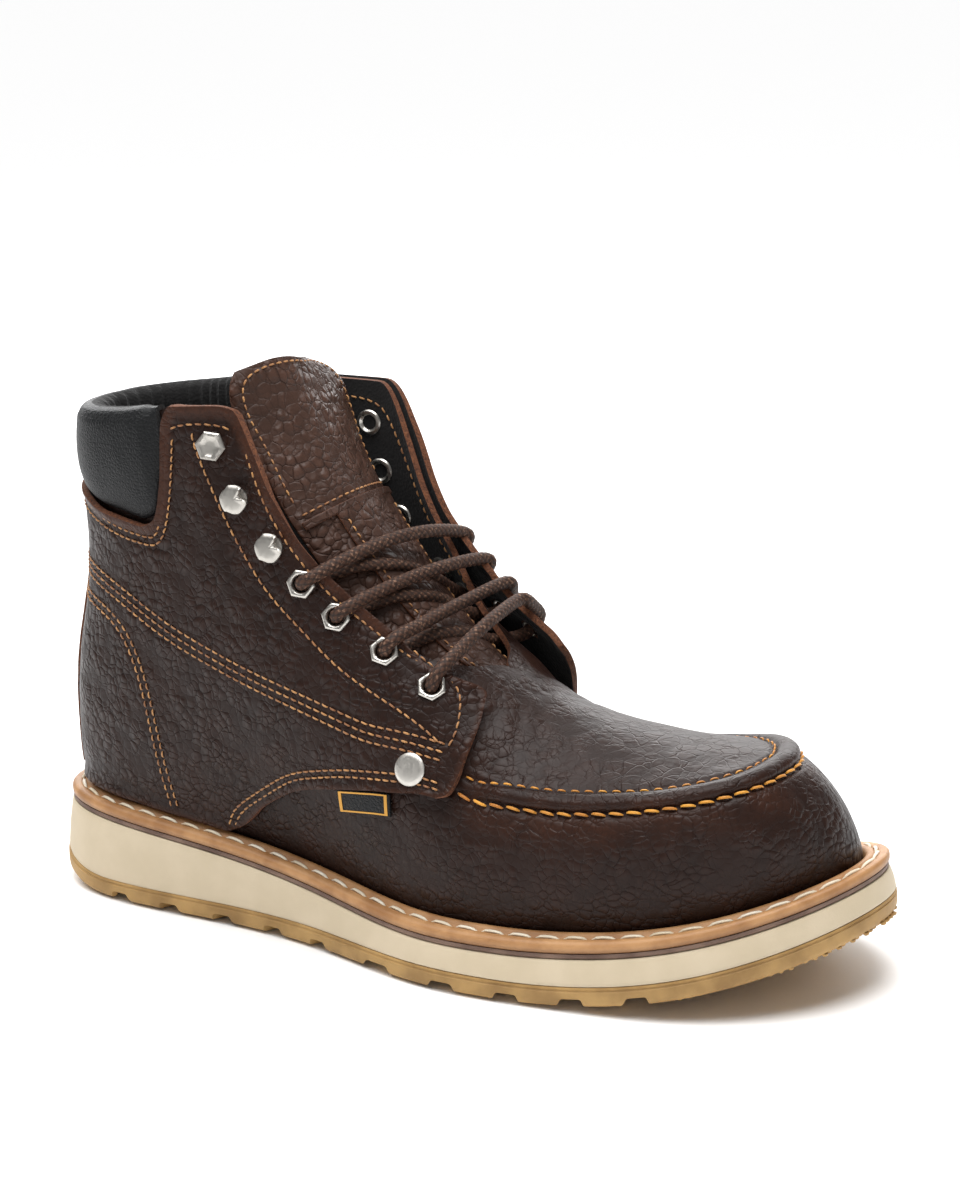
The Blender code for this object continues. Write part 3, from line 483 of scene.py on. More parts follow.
# Section of the welt: inset, height above the slip layer.
WELT_ROWS = [
    (0.10, 0.30),
    (-0.25, 0.80),
    (-0.35, 1.80),
    (-0.15, 2.90),
    (0.45, 3.65),
    (1.30, 4.00),
    (2.30, 4.10),
    (3.10, 3.95),
    (3.50, 3.55),
    (3.90, 3.50),
    (4.30, 3.75),
    (4.75, 4.45),
    (5.40, 5.00),
    (6.20, 5.20),
    (6.90, 4.95),
    (7.50, 4.20),
    (7.70, 0.30),
]
WELT_SHADE = "#9b6d42"
WELT_LIGHT = "#bc8d5e"
WELT_EDGE = "#5e3a20"
RIM_HEIGHT = 1.3
RIM_SHARE = 0.75


def outline_ring(inset, height):
    """Closed loop around the sole at an inset and a height above the slip layer."""
    s = np.linspace(0, 1, SOLE_STEPS + 1)
    flat = np.concatenate([edge(s, -1, inset), edge(s[-2:0:-1], 1, inset)])
    return np.column_stack([flat, mid_top(flat[:, 0]) + SLIP + height])


loops = np.stack([outline_ring(FLARE + inset, height) for inset, height in WELT_ROWS], 1)
welt = new_piece("welt_strip", loops.reshape(-1, 3), grid_quads(*loops.shape[:2], True, True))
close_seams(welt)
smooth_shade(welt, 60.0)


def tanned_leather(name, shade, light, edge_shade):
    """Vegetable-tanned leather, oiled: warm, cloudy, with fine pores and a darker trimmed edge."""
    made, shader, place = new_material(name, {"Roughness": 0.5, "IOR": 1.48})
    cloud = add_node(made, "ShaderNodeTexNoise", None,
                     {"Vector": place, "Scale": 1 / (9 * MM), "Detail": 5.0})
    pores = add_node(made, "ShaderNodeTexNoise", None,
                     {"Vector": place, "Scale": 1 / (0.8 * MM), "Detail": 2.0})
    tone = add_node(made, "ShaderNodeMapRange", {"interpolation_type": "SMOOTHSTEP"},
                    {"Value": cloud.outputs["Fac"], "From Min": 0.3, "From Max": 0.7})
    colour = add_node(made, "ShaderNodeMixRGB", None,
                      {"Fac": tone.outputs["Result"], "Color1": linear(shade), "Color2": linear(light)})
    rim = add_node(made, "ShaderNodeAttribute", {"attribute_name": "rim"})
    edged = add_node(made, "ShaderNodeMixRGB", None,
                     {"Fac": rim.outputs["Fac"], "Color1": colour.outputs["Color"],
                      "Color2": linear(edge_shade)})
    bump = add_node(made, "ShaderNodeBump", None,
                    {"Strength": 1.0, "Distance": 0.12 * MM, "Height": pores.outputs["Fac"]})
    return wire(made, shader, {"Base Color": edged.outputs["Color"], "Normal": bump.outputs["Normal"]})


def set_attribute(made, name, values):
    """A float value for each point of a mesh."""
    store = made.data.attributes.new(name, "FLOAT", "POINT")
    store.data.foreach_set("value", np.asarray(values, np.float32))


def points_of(made):
    """Points of a mesh in millimetres of the last."""
    flat = np.zeros(len(made.data.vertices) * 3)
    made.data.vertices.foreach_get("co", flat)
    return flat.reshape(-1, 3) / MM + (0.0, MIDDLE_Y, 0.0)


welt_points = points_of(welt)
welt_height = welt_points[:, 2] - mid_top(welt_points[:, 0]) - SLIP
set_attribute(welt, "rim", np.clip(RIM_HEIGHT - welt_height, 0, 1) * RIM_SHARE)
welt.data.materials.append(tanned_leather("welt_leather_oiled", WELT_SHADE, WELT_LIGHT, WELT_EDGE))
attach(welt, "root")
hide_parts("welt")

# Welt thread: one row of waxed cream lockstitch that sews the welt to the layers below it. It lies in
# the channel and dips at each needle hole.
THREAD_SIDES = 6
THREAD_STATIONS = 6
THREAD_FLAT = 0.8
THREAD_LOOK = 0.2
THREAD_DIP = 0.35
THREAD_NARROW = 0.62
TONE_STEP = 12.9898
TONE_SPREAD = 43758.5453
CHANNEL_INSET = 3.6
CHANNEL_HEIGHT = 3.75


def along_path(points, normals):
    """Length along a path, and a look-up of place and normal at any length."""
    length = np.concatenate([[0.0], np.cumsum(np.linalg.norm(np.diff(points, axis=0), axis=1))])

    def at(where):
        where = np.asarray(where, float)
        place = np.stack([np.interp(where, length, points[:, k]) for k in range(3)], -1)
        up = np.stack([np.interp(where, length, normals[:, k]) for k in range(3)], -1)
        return place, unit(up)
    return length[-1], at


def stitch_points(points, normals, long, pitch, thick, proud, lean=0.0):
    """Rings of points for a row of stitches along a path, each dipping into the leather at its ends."""
    total, at = along_path(points, normals)
    count = max(1, int(total // pitch))
    spare = (total - count * pitch) / 2
    starts = spare + np.arange(count) * pitch + (pitch - long) / 2
    part = np.linspace(0, 1, THREAD_STATIONS)
    place, up = at(starts[:, None] + part * long)
    ahead, _ = at(starts[:, None] + part * long + THREAD_LOOK)
    behind, _ = at(starts[:, None] + part * long - THREAD_LOOK)
    along = ahead - behind
    along = along / np.maximum(np.linalg.norm(along, axis=-1, keepdims=True), 1e-9)
    across = np.cross(along, up)
    arch = proud * np.sin(np.pi * part) ** 0.6 - thick * THREAD_DIP * np.abs(2 * part - 1) ** 6
    middle = place + up * arch[None, :, None] + across * (lean * (part - 0.5))[None, :, None]
    swell = (THREAD_NARROW + (1 - THREAD_NARROW) * np.sin(np.pi * part) ** 0.5) * thick / 2
    rings = []
    for k in range(THREAD_SIDES):
        turn = 2 * np.pi * k / THREAD_SIDES
        wide = math.cos(turn) * swell[None, :, None]
        tall = math.sin(turn) * swell[None, :, None] * THREAD_FLAT
        rings.append(middle + across * wide + up * tall)
    return np.stack(rings, 2)


def thread_piece(name, rows):
    """Rows of stitches joined into one mesh, with a tone for each stitch."""
    faces_one = grid_quads(THREAD_STATIONS, THREAD_SIDES, close_columns=True)
    size = THREAD_STATIONS * THREAD_SIDES
    faces_one.append(tuple(range(THREAD_SIDES)))
    faces_one.append(tuple(range(size - THREAD_SIDES, size)))
    rings = np.concatenate([row.reshape(-1, size, 3) for row in rows])
    faces = [tuple(i + k * size for i in face) for k in range(len(rings)) for face in faces_one]
    made = new_piece(name, rings.reshape(-1, 3), faces)
    tones = np.repeat(np.sin(np.arange(len(rings)) * TONE_STEP) * TONE_SPREAD % 1.0, size)
    set_attribute(made, "tone", tones)
    close_seams(made)
    smooth_shade(made, 80.0)
    return made


def waxed_thread(name, shade, light):
    """Waxed polyester thread, twisted: satin, each stitch a little lighter or darker than the next."""
    made, shader, place = new_material(name, {"Roughness": 0.5, "IOR": 1.5, "Sheen Weight": 0.15})
    tone = add_node(made, "ShaderNodeAttribute", {"attribute_name": "tone"})
    strand = add_node(made, "ShaderNodeTexNoise", None,
                      {"Vector": place, "Scale": 1 / (0.5 * MM), "Detail": 2.0})
    colour = add_node(made, "ShaderNodeMixRGB", None,
                      {"Fac": tone.outputs["Fac"], "Color1": linear(shade), "Color2": linear(light)})
    bump = add_node(made, "ShaderNodeBump", None,
                    {"Strength": 1.0, "Distance": 0.15 * MM, "Height": strand.outputs["Fac"]})
    return wire(made, shader, {"Base Color": colour.outputs["Color"], "Normal": bump.outputs["Normal"]})


channel = outline_ring(FLARE + CHANNEL_INSET, CHANNEL_HEIGHT)
channel = np.concatenate([channel, channel[:1]])
upright = np.tile((0.0, 0.0, 1.0), (len(channel), 1))
welt_stitches = stitch_points(channel, upright, long=8.9, pitch=9.3, thick=1.3, proud=0.6, lean=0.9)
welt_thread = thread_piece("welt_thread", [welt_stitches])
welt_thread.data.materials.append(waxed_thread("welt_thread_waxed", "#d6c7ab", "#efe6d3"))
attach(welt_thread, "root")

# Insole: a board covered with dark brushed cloth. It lies loose inside the foot of the upper,
# on the slip layer.
LEDGE = 8.0
WALL = 2.0
# Section of the insole's side: inset from the upper's inner wall, height above the slip layer.
INSOLE_ROWS = [(0.4, GAP), (0.4, 2.8), (1.2, 3.5)]
insole_rows = [(FLARE + LEDGE + WALL + inset, above_mid(SLIP + height)) for inset, height in INSOLE_ROWS]
insole = sole_layer("insole_board", insole_rows, across=11)
smooth_shade(insole)


def woven_lining(name, shade, light, thread_mm):
    """Brushed polyester lining cloth, woven: near black, matt, with a soft fuzz."""
    made, shader, place = new_material(name, {"Roughness": 0.9, "IOR": 1.45, "Sheen Weight": 0.08})
    weave = add_node(made, "ShaderNodeTexVoronoi", None, {"Vector": place, "Scale": 1 / (thread_mm * MM)})
    cloud = add_node(made, "ShaderNodeTexNoise", None,
                     {"Vector": place, "Scale": 1 / (12 * MM), "Detail": 3.0})
    colour = add_node(made, "ShaderNodeMixRGB", None,
                      {"Fac": cloud.outputs["Fac"], "Color1": linear(shade), "Color2": linear(light)})
    bump = add_node(made, "ShaderNodeBump", None,
                    {"Strength": 1.0, "Distance": 0.2 * MM, "Height": weave.outputs["Distance"]})
    return wire(made, shader, {"Base Color": colour.outputs["Color"], "Normal": bump.outputs["Normal"]})


lining = woven_lining("lining_cloth_brushed", "#0b0a0a", "#181616", thread_mm=0.9)
insole.data.materials.append(lining)
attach(insole, "root")
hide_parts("insole")

# Vamp and shaft: oiled pull-up leather drawn over the last, with a raised seam round the apron of the toe.
# It is one wall, lined inside, open at the top, down the throat and underneath.
# Each rib has its seam level (mx, my, mz), its top edge (tx, ty, tz) and how far it swells between them.
RIB_COLUMNS = ("s", "mx", "my", "mz", "tx", "ty", "tz", "low", "high", "crown")
LATERAL_ROWS = [
    (0.000, -131.5, 0.0, 113.0, -130.0, 0.0, 167.0, 3.5, 0.0, 0.0),
    (0.100, -125.0, -17.0, 111.0, -124.0, -18.0, 167.5, 3.0, 0.0, 0.0),
    (0.200, -108.0, -26.0, 106.5, -111.0, -28.0, 168.5, 2.0, 0.0, 0.0),
    (0.300, -84.0, -30.5, 97.5, -92.0, -31.0, 171.0, 1.5, 0.0, 0.0),
    (0.360, -62.0, -33.0, 90.5, -80.0, -31.0, 176.0, 1.5, 0.0, 0.0),
    (0.420, -38.0, -36.0, 84.0, -61.0, -25.0, 175.5, 2.0, 0.5, 0.0),
    (0.480, -12.0, -38.0, 77.0, -30.0, -21.5, 134.0, 3.0, 1.5, 0.0),
    (0.530, 10.0, -39.5, 71.0, 2.0, -18.5, 103.0, 4.0, 2.0, 0.3),
    (0.560, 25.0, -40.5, 65.0, 16.0, -12.0, 95.5, 4.5, 1.5, 0.7),
    (0.585, 36.0, -41.0, 61.0, 24.0, 0.0, 92.0, 4.5, 0.5, 1.0),
    (0.640, 56.0, -40.0, 59.8, 42.0, 0.5, 82.5, 5.0, 0.0, 1.0),
    (0.700, 76.0, -38.0, 61.5, 60.0, 1.5, 77.5, 5.0, 0.0, 1.0),
    (0.780, 99.0, -33.0, 65.5, 78.0, 2.5, 75.0, 5.0, 0.0, 1.0),
    (0.860, 114.0, -24.0, 69.0, 89.0, 3.5, 74.5, 5.0, 0.0, 1.0),
    (0.930, 120.5, -11.0, 70.5, 95.0, 4.0, 74.3, 4.5, 0.0, 1.0),
    (1.000, 122.0, 3.0, 71.0, 98.0, 4.0, 74.2, 4.0, 0.0, 1.0),
]
MEDIAL_ROWS = [
    (0.000, -131.5, 0.0, 113.0, -130.0, 0.0, 167.0, 3.5, 0.0, 0.0),
    (0.100, -125.0, 17.0, 111.0, -124.0, 18.0, 167.5, 3.0, 0.0, 0.0),
    (0.200, -108.0, 26.0, 106.5, -111.0, 28.0, 168.5, 2.0, 0.0, 0.0),
    (0.300, -84.0, 30.5, 97.5, -92.0, 31.5, 171.0, 0.5, 0.0, 0.0),
    (0.360, -62.0, 33.0, 90.5, -74.0, 33.5, 176.0, 0.0, 0.0, 0.0),
    (0.420, -38.0, 35.5, 84.0, -42.0, 35.5, 175.5, 0.0, 0.5, 0.0),
    (0.480, -12.0, 37.0, 77.0, -19.0, 28.0, 131.0, 1.0, 1.5, 0.0),
    (0.530, 10.0, 38.5, 71.0, 4.0, 21.0, 104.5, 2.5, 2.0, 0.3),
    (0.560, 25.0, 39.5, 65.0, 17.0, 13.0, 95.5, 3.5, 1.5, 0.7),
    (0.585, 36.0, 40.0, 61.0, 24.0, 0.0, 92.0, 4.0, 0.5, 1.0),
    (0.640, 56.0, 40.5, 60.0, 42.0, 0.5, 82.5, 4.5, 0.0, 1.0),
    (0.700, 76.0, 40.0, 61.0, 60.0, 1.5, 77.5, 4.5, 0.0, 1.0),
    (0.780, 96.0, 36.5, 64.5, 78.0, 2.5, 75.0, 4.0, 0.0, 1.0),
    (0.860, 109.0, 28.5, 68.0, 89.0, 3.5, 74.5, 3.5, 0.0, 1.0),
    (0.930, 118.0, 16.5, 70.0, 95.0, 4.0, 74.3, 3.5, 0.0, 1.0),
    (1.000, 122.0, 3.0, 71.0, 98.0, 4.0, 74.2, 4.0, 0.0, 1.0),
]
THROAT_S = 0.585
RIDGE_HEIGHT = 2.4
RIDGE_WIDTH = 8.0
RIDGE_START = 0.57
RIDGE_RUN_IN = 0.03
RIDGE_LEAN = 0.75
RIDGE_ROUND = 0.8


def smooth(knots, values, x):
    """Shape-keeping cubic through the rows of a table."""
    k = np.asarray(knots, float)
    v = np.asarray(values, float)
    x = np.asarray(x, float)
    h = np.diff(k)
    d = np.diff(v) / h
    m = np.zeros_like(v)
    same = d[:-1] * d[1:] > 0
    w1 = 2 * h[1:] + h[:-1]
    w2 = h[1:] + 2 * h[:-1]
    a = np.where(same, d[:-1], 1.0)
    b = np.where(same, d[1:], 1.0)
    m[1:-1] = np.where(same, (w1 + w2) / (w1 / a + w2 / b), 0.0)
    m[0] = ((2 * h[0] + h[1]) * d[0] - h[0] * d[1]) / (h[0] + h[1])
    m[-1] = ((2 * h[-1] + h[-2]) * d[-1] - h[-1] * d[-2]) / (h[-1] + h[-2])
    i = np.clip(np.searchsorted(k, x) - 1, 0, len(k) - 2)
    u = (x - k[i]) / h[i]
    c0 = (1 + 2 * u) * (1 - u) ** 2
    c1 = u * (1 - u) ** 2 * h[i]
    c2 = u * u * (3 - 2 * u)
    c3 = u * u * (u - 1) * h[i]
    return c0 * v[i] + c1 * m[i] + c2 * v[i + 1] + c3 * m[i + 1]


def ease(x):
    """Smooth step from 0 to 1."""
    x = np.clip(x, 0, 1)
    return x * x * (3 - 2 * x)


def rise(x, start, span):
    """Smooth step from 0 at start to 1 a span further on."""
    return ease((np.asarray(x) - start) / span)


def level_weights(t):
    """Weights of the five levels of a rib at t."""
    t = np.clip(np.asarray(t, float), 0, 1)
    eye = np.eye(5)
    slopes = np.zeros((5, 5))
    for j in range(1, 4):
        slopes[j] = (eye[j + 1] - eye[j - 1]) / 2
    slopes[0] = -1.5 * eye[0] + 2 * eye[1] - 0.5 * eye[2]
    slopes[4] = 1.5 * eye[4] - 2 * eye[3] + 0.5 * eye[2]
    i = np.clip((t * 4).astype(int), 0, 3)
    u = (t * 4 - i)[..., None]
    w = (1 + 2 * u) * (1 - u) ** 2 * eye[i] + u * (1 - u) ** 2 * slopes[i]
    return w + u * u * (3 - 2 * u) * eye[i + 1] + u * u * (u - 1) * slopes[i + 1]


def rib_values(side, names, s):
    """Columns of one side's rib table at s."""
    rows = LATERAL_ROWS if side < 0 else MEDIAL_ROWS
    at = column(rows, RIB_COLUMNS, "s")
    return np.stack([smooth(at, column(rows, RIB_COLUMNS, name), s) for name in names], -1)


def top_edge(s, side):
    """Top edge of one side. Ahead of the throat both sides share the middle line."""
    both = [rib_values(each, ("tx", "ty", "tz"), s) for each in (-1, 1)]
    shared = (both[0] + both[1]) / 2
    shared[..., 1] = np.maximum(shared[..., 1], 0.0)
    return np.where(np.asarray(s)[..., None] >= THROAT_S, shared, both[0] if side < 0 else both[1])


def rib_levels(s, side):
    """The five level points of the ribs at s."""
    s = np.asarray(s, float)
    foot_xy = edge(s, side, FLARE + LEDGE)
    foot = np.concatenate([foot_xy, (mid_top(foot_xy[..., 0]) + SLIP + WELT)[..., None]], -1)
    level = ("mx", "my", "mz")
    seam = rib_values(side, level, s)
    top = top_edge(s, side)
    swell = rib_values(side, ("low", "high", "crown"), s)
    step = 0.004
    ahead = np.clip(s + step, 0, 1)
    behind = np.clip(s - step, 0, 1)
    along = rib_values(side, level, ahead) - rib_values(side, level, behind)
    along[s < 1e-6] = (0.0, 1.0 * side, 0.0)
    along[s > 1 - 1e-6] = (0.0, -1.0 * side, 0.0)
    low_out = unit(np.cross(along, seam - foot) * -side)
    high_out = unit(np.cross(along, top - seam) * -side)
    low = (foot + seam) / 2 + low_out * swell[..., 0:1]
    high = (seam + top) / 2 + high_out * swell[..., 1:2]
    fall = top_edge(ahead, side) - top_edge(behind, side)
    slope = np.clip(fall[..., 2] / np.where(np.abs(fall[..., 0]) < 1e-6, 1.0, fall[..., 0]), -1.0, 1.0)
    end_slope = slope * (top[..., 0] - seam[..., 0])
    high[..., 2] += swell[..., 2] * (top[..., 2] - seam[..., 2] - end_slope) / 4
    return np.stack([foot, low, seam, high, top], -2)


def skin(s, t, side):
    """Bare surface of the upper, without the raised seam."""
    return np.einsum("...k,...kc->...c", level_weights(t), rib_levels(s, side))


def skin_normal(s, t, side):
    """Outward normal of the bare surface."""
    s = np.asarray(s, float)
    t = np.asarray(t, float)
    ds = 1e-3
    dt = 2e-3
    a = skin(np.clip(s + ds, 0, 1), t, side) - skin(np.clip(s - ds, 0, 1), t, side)
    b = skin(s, np.clip(t + dt, 0, 1), side) - skin(s, np.clip(t - dt, 0, 1), side)
    n = np.cross(a, b) * -side
    return n / np.maximum(np.linalg.norm(n, axis=-1, keepdims=True), 1e-12)


def seam_reach(s, side):
    """Length of the ribs above the seam level."""
    levels = rib_levels(s, side)
    return np.linalg.norm(levels[..., 4, :] - levels[..., 2, :], axis=-1)


def ridge(s, t, side):
    """Height of the raised seam around the apron: steep on the outside, easy towards the apron."""
    across = np.clip((np.asarray(t) - 0.5) * 2 * seam_reach(s, side) / RIDGE_WIDTH, 0, 1)
    start = rise(s, RIDGE_START, RIDGE_RUN_IN)
    return RIDGE_HEIGHT * start * np.sin(np.pi * across ** RIDGE_LEAN) ** RIDGE_ROUND


def outer(s, t, side, lift=0.0):
    """Outer face of the upper, lifted along its normal."""
    return skin(s, t, side) + skin_normal(s, t, side) * (ridge(s, t, side) + lift)[..., None]


def wrinkle(points, size, seed):
    """Soft unevenness of drawn leather, from -1 to 1, with waves of about a given size."""
    shift = Vector((seed * 17.3, seed * 5.1, seed * 9.7))
    return np.array([noise.noise(Vector(p) / size + shift) for p in points])


def tree_of(points):
    """A search tree of numbered points."""
    tree = kdtree.KDTree(len(points))
    for i, place in enumerate(points):
        tree.insert(place, i)
    tree.balance()
    return tree


def trough(points, route, width):
    """How deep a point lies in a soft trough along a route: 1 on the route, 0 past its width."""
    tree = tree_of(route)
    far = np.array([tree.find(p)[2] for p in points])
    return ease(1 - far / width)


CUT_COLUMNS = ("s", "cut")
CUT_ROWS = [
    (0.000, 0.0),
    (0.200, 0.0),
    (0.405, 0.0),
    (0.420, 0.005),
    (0.430, 0.06),
    (0.440, 0.115),
    (0.458, 0.135),
    (0.480, 0.115),
    (0.510, 0.1),
    (0.535, 0.075),
    (0.560, 0.03),
    (0.585, 0.0),
    (0.800, 0.0),
    (1.000, 0.0),
]


def throat_cut(s, side):
    """How far the throat's edge is cut back below the top of the ribs, on the lateral side alone."""
    if side > 0:
        return np.zeros(np.shape(s))
    return smooth(column(CUT_ROWS, CUT_COLUMNS, "s"), column(CUT_ROWS, CUT_COLUMNS, "cut"), s)


LIFT_NEAR = 1.6
LIFT_FAR = 6.5
LIFT_S = (0.43, 0.12)
LIFT_T = (0.52, 0.3)
FREE_S = (0.47, 0.06)


def flap_lift(s, t, side):
    """How far the eyelet flap stands off the vamp."""
    most = LIFT_NEAR if side < 0 else LIFT_FAR
    return most * rise(s, *LIFT_S) * rise(t, *LIFT_T)


def wall_lift(s, t, side):
    """How far the shaft follows the flap before the flap stands free of it."""
    return flap_lift(s, t, side) * (1 - rise(s, *FREE_S)) * (side > 0)


VAMP_COLUMNS = 230
VAMP_BACK_S = 0.33
VAMP_BACK_COLUMNS = 33
VAMP_BELOW = 36
VAMP_RIDGE = 14
VAMP_ABOVE = 34


def vamp_grid(side):
    """Places of the vamp's points on one side: close together on the foot, wide behind the quarter."""
    back = np.linspace(0, VAMP_BACK_S, VAMP_BACK_COLUMNS + 1)[:-1]
    front = np.linspace(VAMP_BACK_S, 1.0, VAMP_COLUMNS - VAMP_BACK_COLUMNS)
    s = np.concatenate([back, front])
    width = RIDGE_WIDTH / (2 * seam_reach(s, side))
    below = np.linspace(0, 0.5, VAMP_BELOW + 1)[:-1]
    over = np.linspace(0, 1, VAMP_RIDGE + 1)[:-1]
    above = np.linspace(0, 1, VAMP_ABOVE + 1)
    t = np.concatenate([np.repeat(below[None], len(s), 0), 0.5 + width[:, None] * over,
                        0.5 + width[:, None] + (0.5 - width[:, None]) * above], 1)
    t = np.where(t > 0.5, 0.5 + (t - 0.5) * (1 - 2 * throat_cut(s, side)[:, None]), t)
    return np.repeat(s[:, None], t.shape[1], 1), t


halves = []
faces = []
marks = []
for side in (-1, 1):
    s, t = vamp_grid(side)
    points = outer(s, t, side, wall_lift(s, t, side))
    points[0, :, 1] = 0.0
    if side > 0:
        points[-1] = halves[0][-1, 1:]
    middle = s[:, 0] >= THROAT_S
    points[middle, -1] = top_edge(s[middle, 0], side)
    hem = points[:, :1].copy()
    hem[..., 2] = mid_top(hem[..., 0]) + SLIP + GAP
    points = np.concatenate([hem, points], 1)
    first = sum(half.shape[0] * half.shape[1] for half in halves)
    quads = grid_quads(*points.shape[:2])
    faces += [tuple(first + i for i in (quad if side < 0 else quad[::-1])) for quad in quads]
    marks.append(np.stack([np.pad(s, ((0, 0), (1, 0)), mode="edge"), np.pad(t, ((0, 0), (1, 0)))], -1))
    halves.append(points)
vamp_points = np.concatenate([half.reshape(-1, 3) for half in halves])
vamp_marks = np.concatenate([mark.reshape(-1, 2) for mark in marks])
vamp = new_piece("vamp_leather", vamp_points, faces)
close_seams(vamp, turn_out=False)


def nearest_marks(made, points, marks):
    """Marks of the grid points that a mesh's merged points came from."""
    tree = tree_of(points)
    return np.array([marks[tree.find(p)[1]] for p in points_of(made)])


def press(made, depth):
    """Move the points of a mesh along their normals, in millimetres."""
    normals = np.zeros(len(made.data.vertices) * 3)
    made.data.vertex_normals.foreach_get("vector", normals)
    moved = points_of(made) + normals.reshape(-1, 3) * np.asarray(depth)[:, None]
    made.data.vertices.foreach_set("co", in_frame(moved).ravel())
    made.data.update()


CREASE_STEPS = 60


def route_on(face, knots, side, count=160):
    """Points and normals along a smooth line on a face, through (s, t) places."""
    knots = np.array(knots, float)
    at = np.linspace(0, 1, len(knots))
    u = np.linspace(0, 1, count)
    s = natural(at, knots[:, 0], u)
    t = natural(at, knots[:, 1], u)
    return face(s, t, side), skin_normal(s, t, side)


vamp_places = points_of(vamp)
vamp_st = nearest_marks(vamp, vamp_points, vamp_marks)
vamp_s = vamp_st[:, 0]
vamp_t = vamp_st[:, 1]
on_apron = rise(vamp_t, 0.5, 0.06) * rise(vamp_s, 0.56, 0.03)
# Flex creases of the vamp: (s, t) places, width and depth in millimetres.
VAMP_CREASES = [
    ([(0.600, 0.62), (0.606, 0.80), (0.604, 0.97)], 3.2, 0.30),
    ([(0.618, 0.64), (0.628, 0.80), (0.622, 0.99)], 3.0, 0.26),
    ([(0.650, 0.66), (0.652, 0.80), (0.640, 0.95)], 3.4, 0.20),
    ([(0.575, 0.44), (0.560, 0.34), (0.540, 0.24)], 4.0, 0.35),
    ([(0.600, 0.45), (0.588, 0.33), (0.572, 0.20)], 4.2, 0.32),
    ([(0.632, 0.45), (0.622, 0.36), (0.612, 0.25)], 3.6, 0.26),
    ([(0.668, 0.45), (0.662, 0.37), (0.660, 0.28)], 3.6, 0.20),
    ([(0.500, 0.30), (0.520, 0.22), (0.535, 0.12)], 4.0, 0.22),
    ([(0.740, 0.40), (0.752, 0.30), (0.775, 0.22)], 4.5, 0.18),
]
relief = 0.16 * wrinkle(vamp_places, size=13.0, seed=1)
relief = relief + 0.07 * wrinkle(vamp_places, size=5.0, seed=2) * (1 - 0.6 * on_apron)
for knots, width, depth in VAMP_CREASES:
    for side in (-1, 1):
        route, _ = route_on(outer, knots, side, CREASE_STEPS)
        relief = relief - depth * trough(vamp_places, route, width)
# Rows of the toe seam: (s, t) places.
TOE_OUTER = [(0.556, 0.460), (0.600, 0.489), (0.700, 0.492), (0.850, 0.492), (0.950, 0.490), (1.000, 0.490)]
TOE_INNER = [(0.562, 0.534), (0.595, 0.552), (0.625, 0.566), (0.710, 0.585), (0.800, 0.605), (0.900, 0.640),
             (0.960, 0.665), (1.000, 0.670)]
TOE_PULL_WIDTH = 2.2
for knots, depth in ((TOE_OUTER, 0.9), (TOE_INNER, 0.8)):
    for side in (-1, 1):
        route, _ = route_on(outer, knots, side)
        relief = relief - depth * trough(vamp_places, route, TOE_PULL_WIDTH)
press(vamp, relief)
rubbed = rise(vamp_t, 0.30, 0.16) * (1 - on_apron) * rise(vamp_s, 0.55, 0.04)
patchy = 0.55 + 0.9 * wrinkle(vamp_places, size=9.0, seed=3)
set_attribute(vamp, "wear", np.clip(0.6 * rubbed * patchy, 0, 1))
APRON_REACH = 90
ROLL_FADE = 4
past_roll = RIDGE_WIDTH * 1.25 - (vamp_t - 0.5) * APRON_REACH
on_roll = rise(vamp_t, 0.495, 0.02) * ease(past_roll / ROLL_FADE)
smoother = 0.45 + 0.5 * rise(vamp_s, 0.60, 0.2)
set_attribute(vamp, "sleek", np.clip(on_apron * np.maximum(smoother, on_roll), 0, 1))

EYELETS = {-1: [(0.455, 0.77), (0.480, 0.79), (0.510, 0.81), (0.540, 0.77)],
           1: [(0.472, 0.79), (0.493, 0.80), (0.515, 0.81), (0.538, 0.78)]}
HOOKS = {-1: [(0.395, 0.93), (0.410, 0.84), (0.435, 0.78)],
         1: [(0.410, 0.92), (0.416, 0.83), (0.432, 0.76)]}
PUNCH_R = 3.7


def punch(made, middles, radius):
    """Take out the faces of a sheet that lie within a radius of the given points."""
    bm = bmesh.new()
    bm.from_mesh(made.data)
    spots = [Vector(in_frame(m)) for m in middles]
    out = [f for f in bm.faces if min((f.calc_center_median() - m).length for m in spots) < radius * MM]
    bmesh.ops.delete(bm, geom=out, context="FACES")
    bm.to_mesh(made.data)
    bm.free()


punched = [skin(np.array(s), np.array(t), side) for side in (-1, 1) for s, t in EYELETS[side]]
punch(vamp, punched, PUNCH_R)


def give_wall(made, thickness, covers):
    """Thickness for a sheet, laid inward, with materials for its face, its back and its cut edge."""
    for cover in covers:
        made.data.materials.append(cover)
    take_up(made)
    wall = made.modifiers.new("wall", "SOLIDIFY")
    wall.thickness = thickness * MM
    wall.offset = -1.0
    wall.use_even_offset = False
    wall.material_offset = 1
    wall.material_offset_rim = 2
    bpy.ops.object.modifier_apply(modifier="wall")


RIM_ANGLE = 50.0


def soften_rim(made, width):
    """Round the cut edges of a sheet."""
    take_up(made)
    soft = made.modifiers.new("soften", "BEVEL")
    soft.width = width * MM
    soft.segments = 2
    soft.limit_method = "ANGLE"
    soft.angle_limit = math.radians(RIM_ANGLE)
    soft.use_clamp_overlap = True
    bpy.ops.object.modifier_apply(modifier="soften")


CRACKLE_MM = 4.4


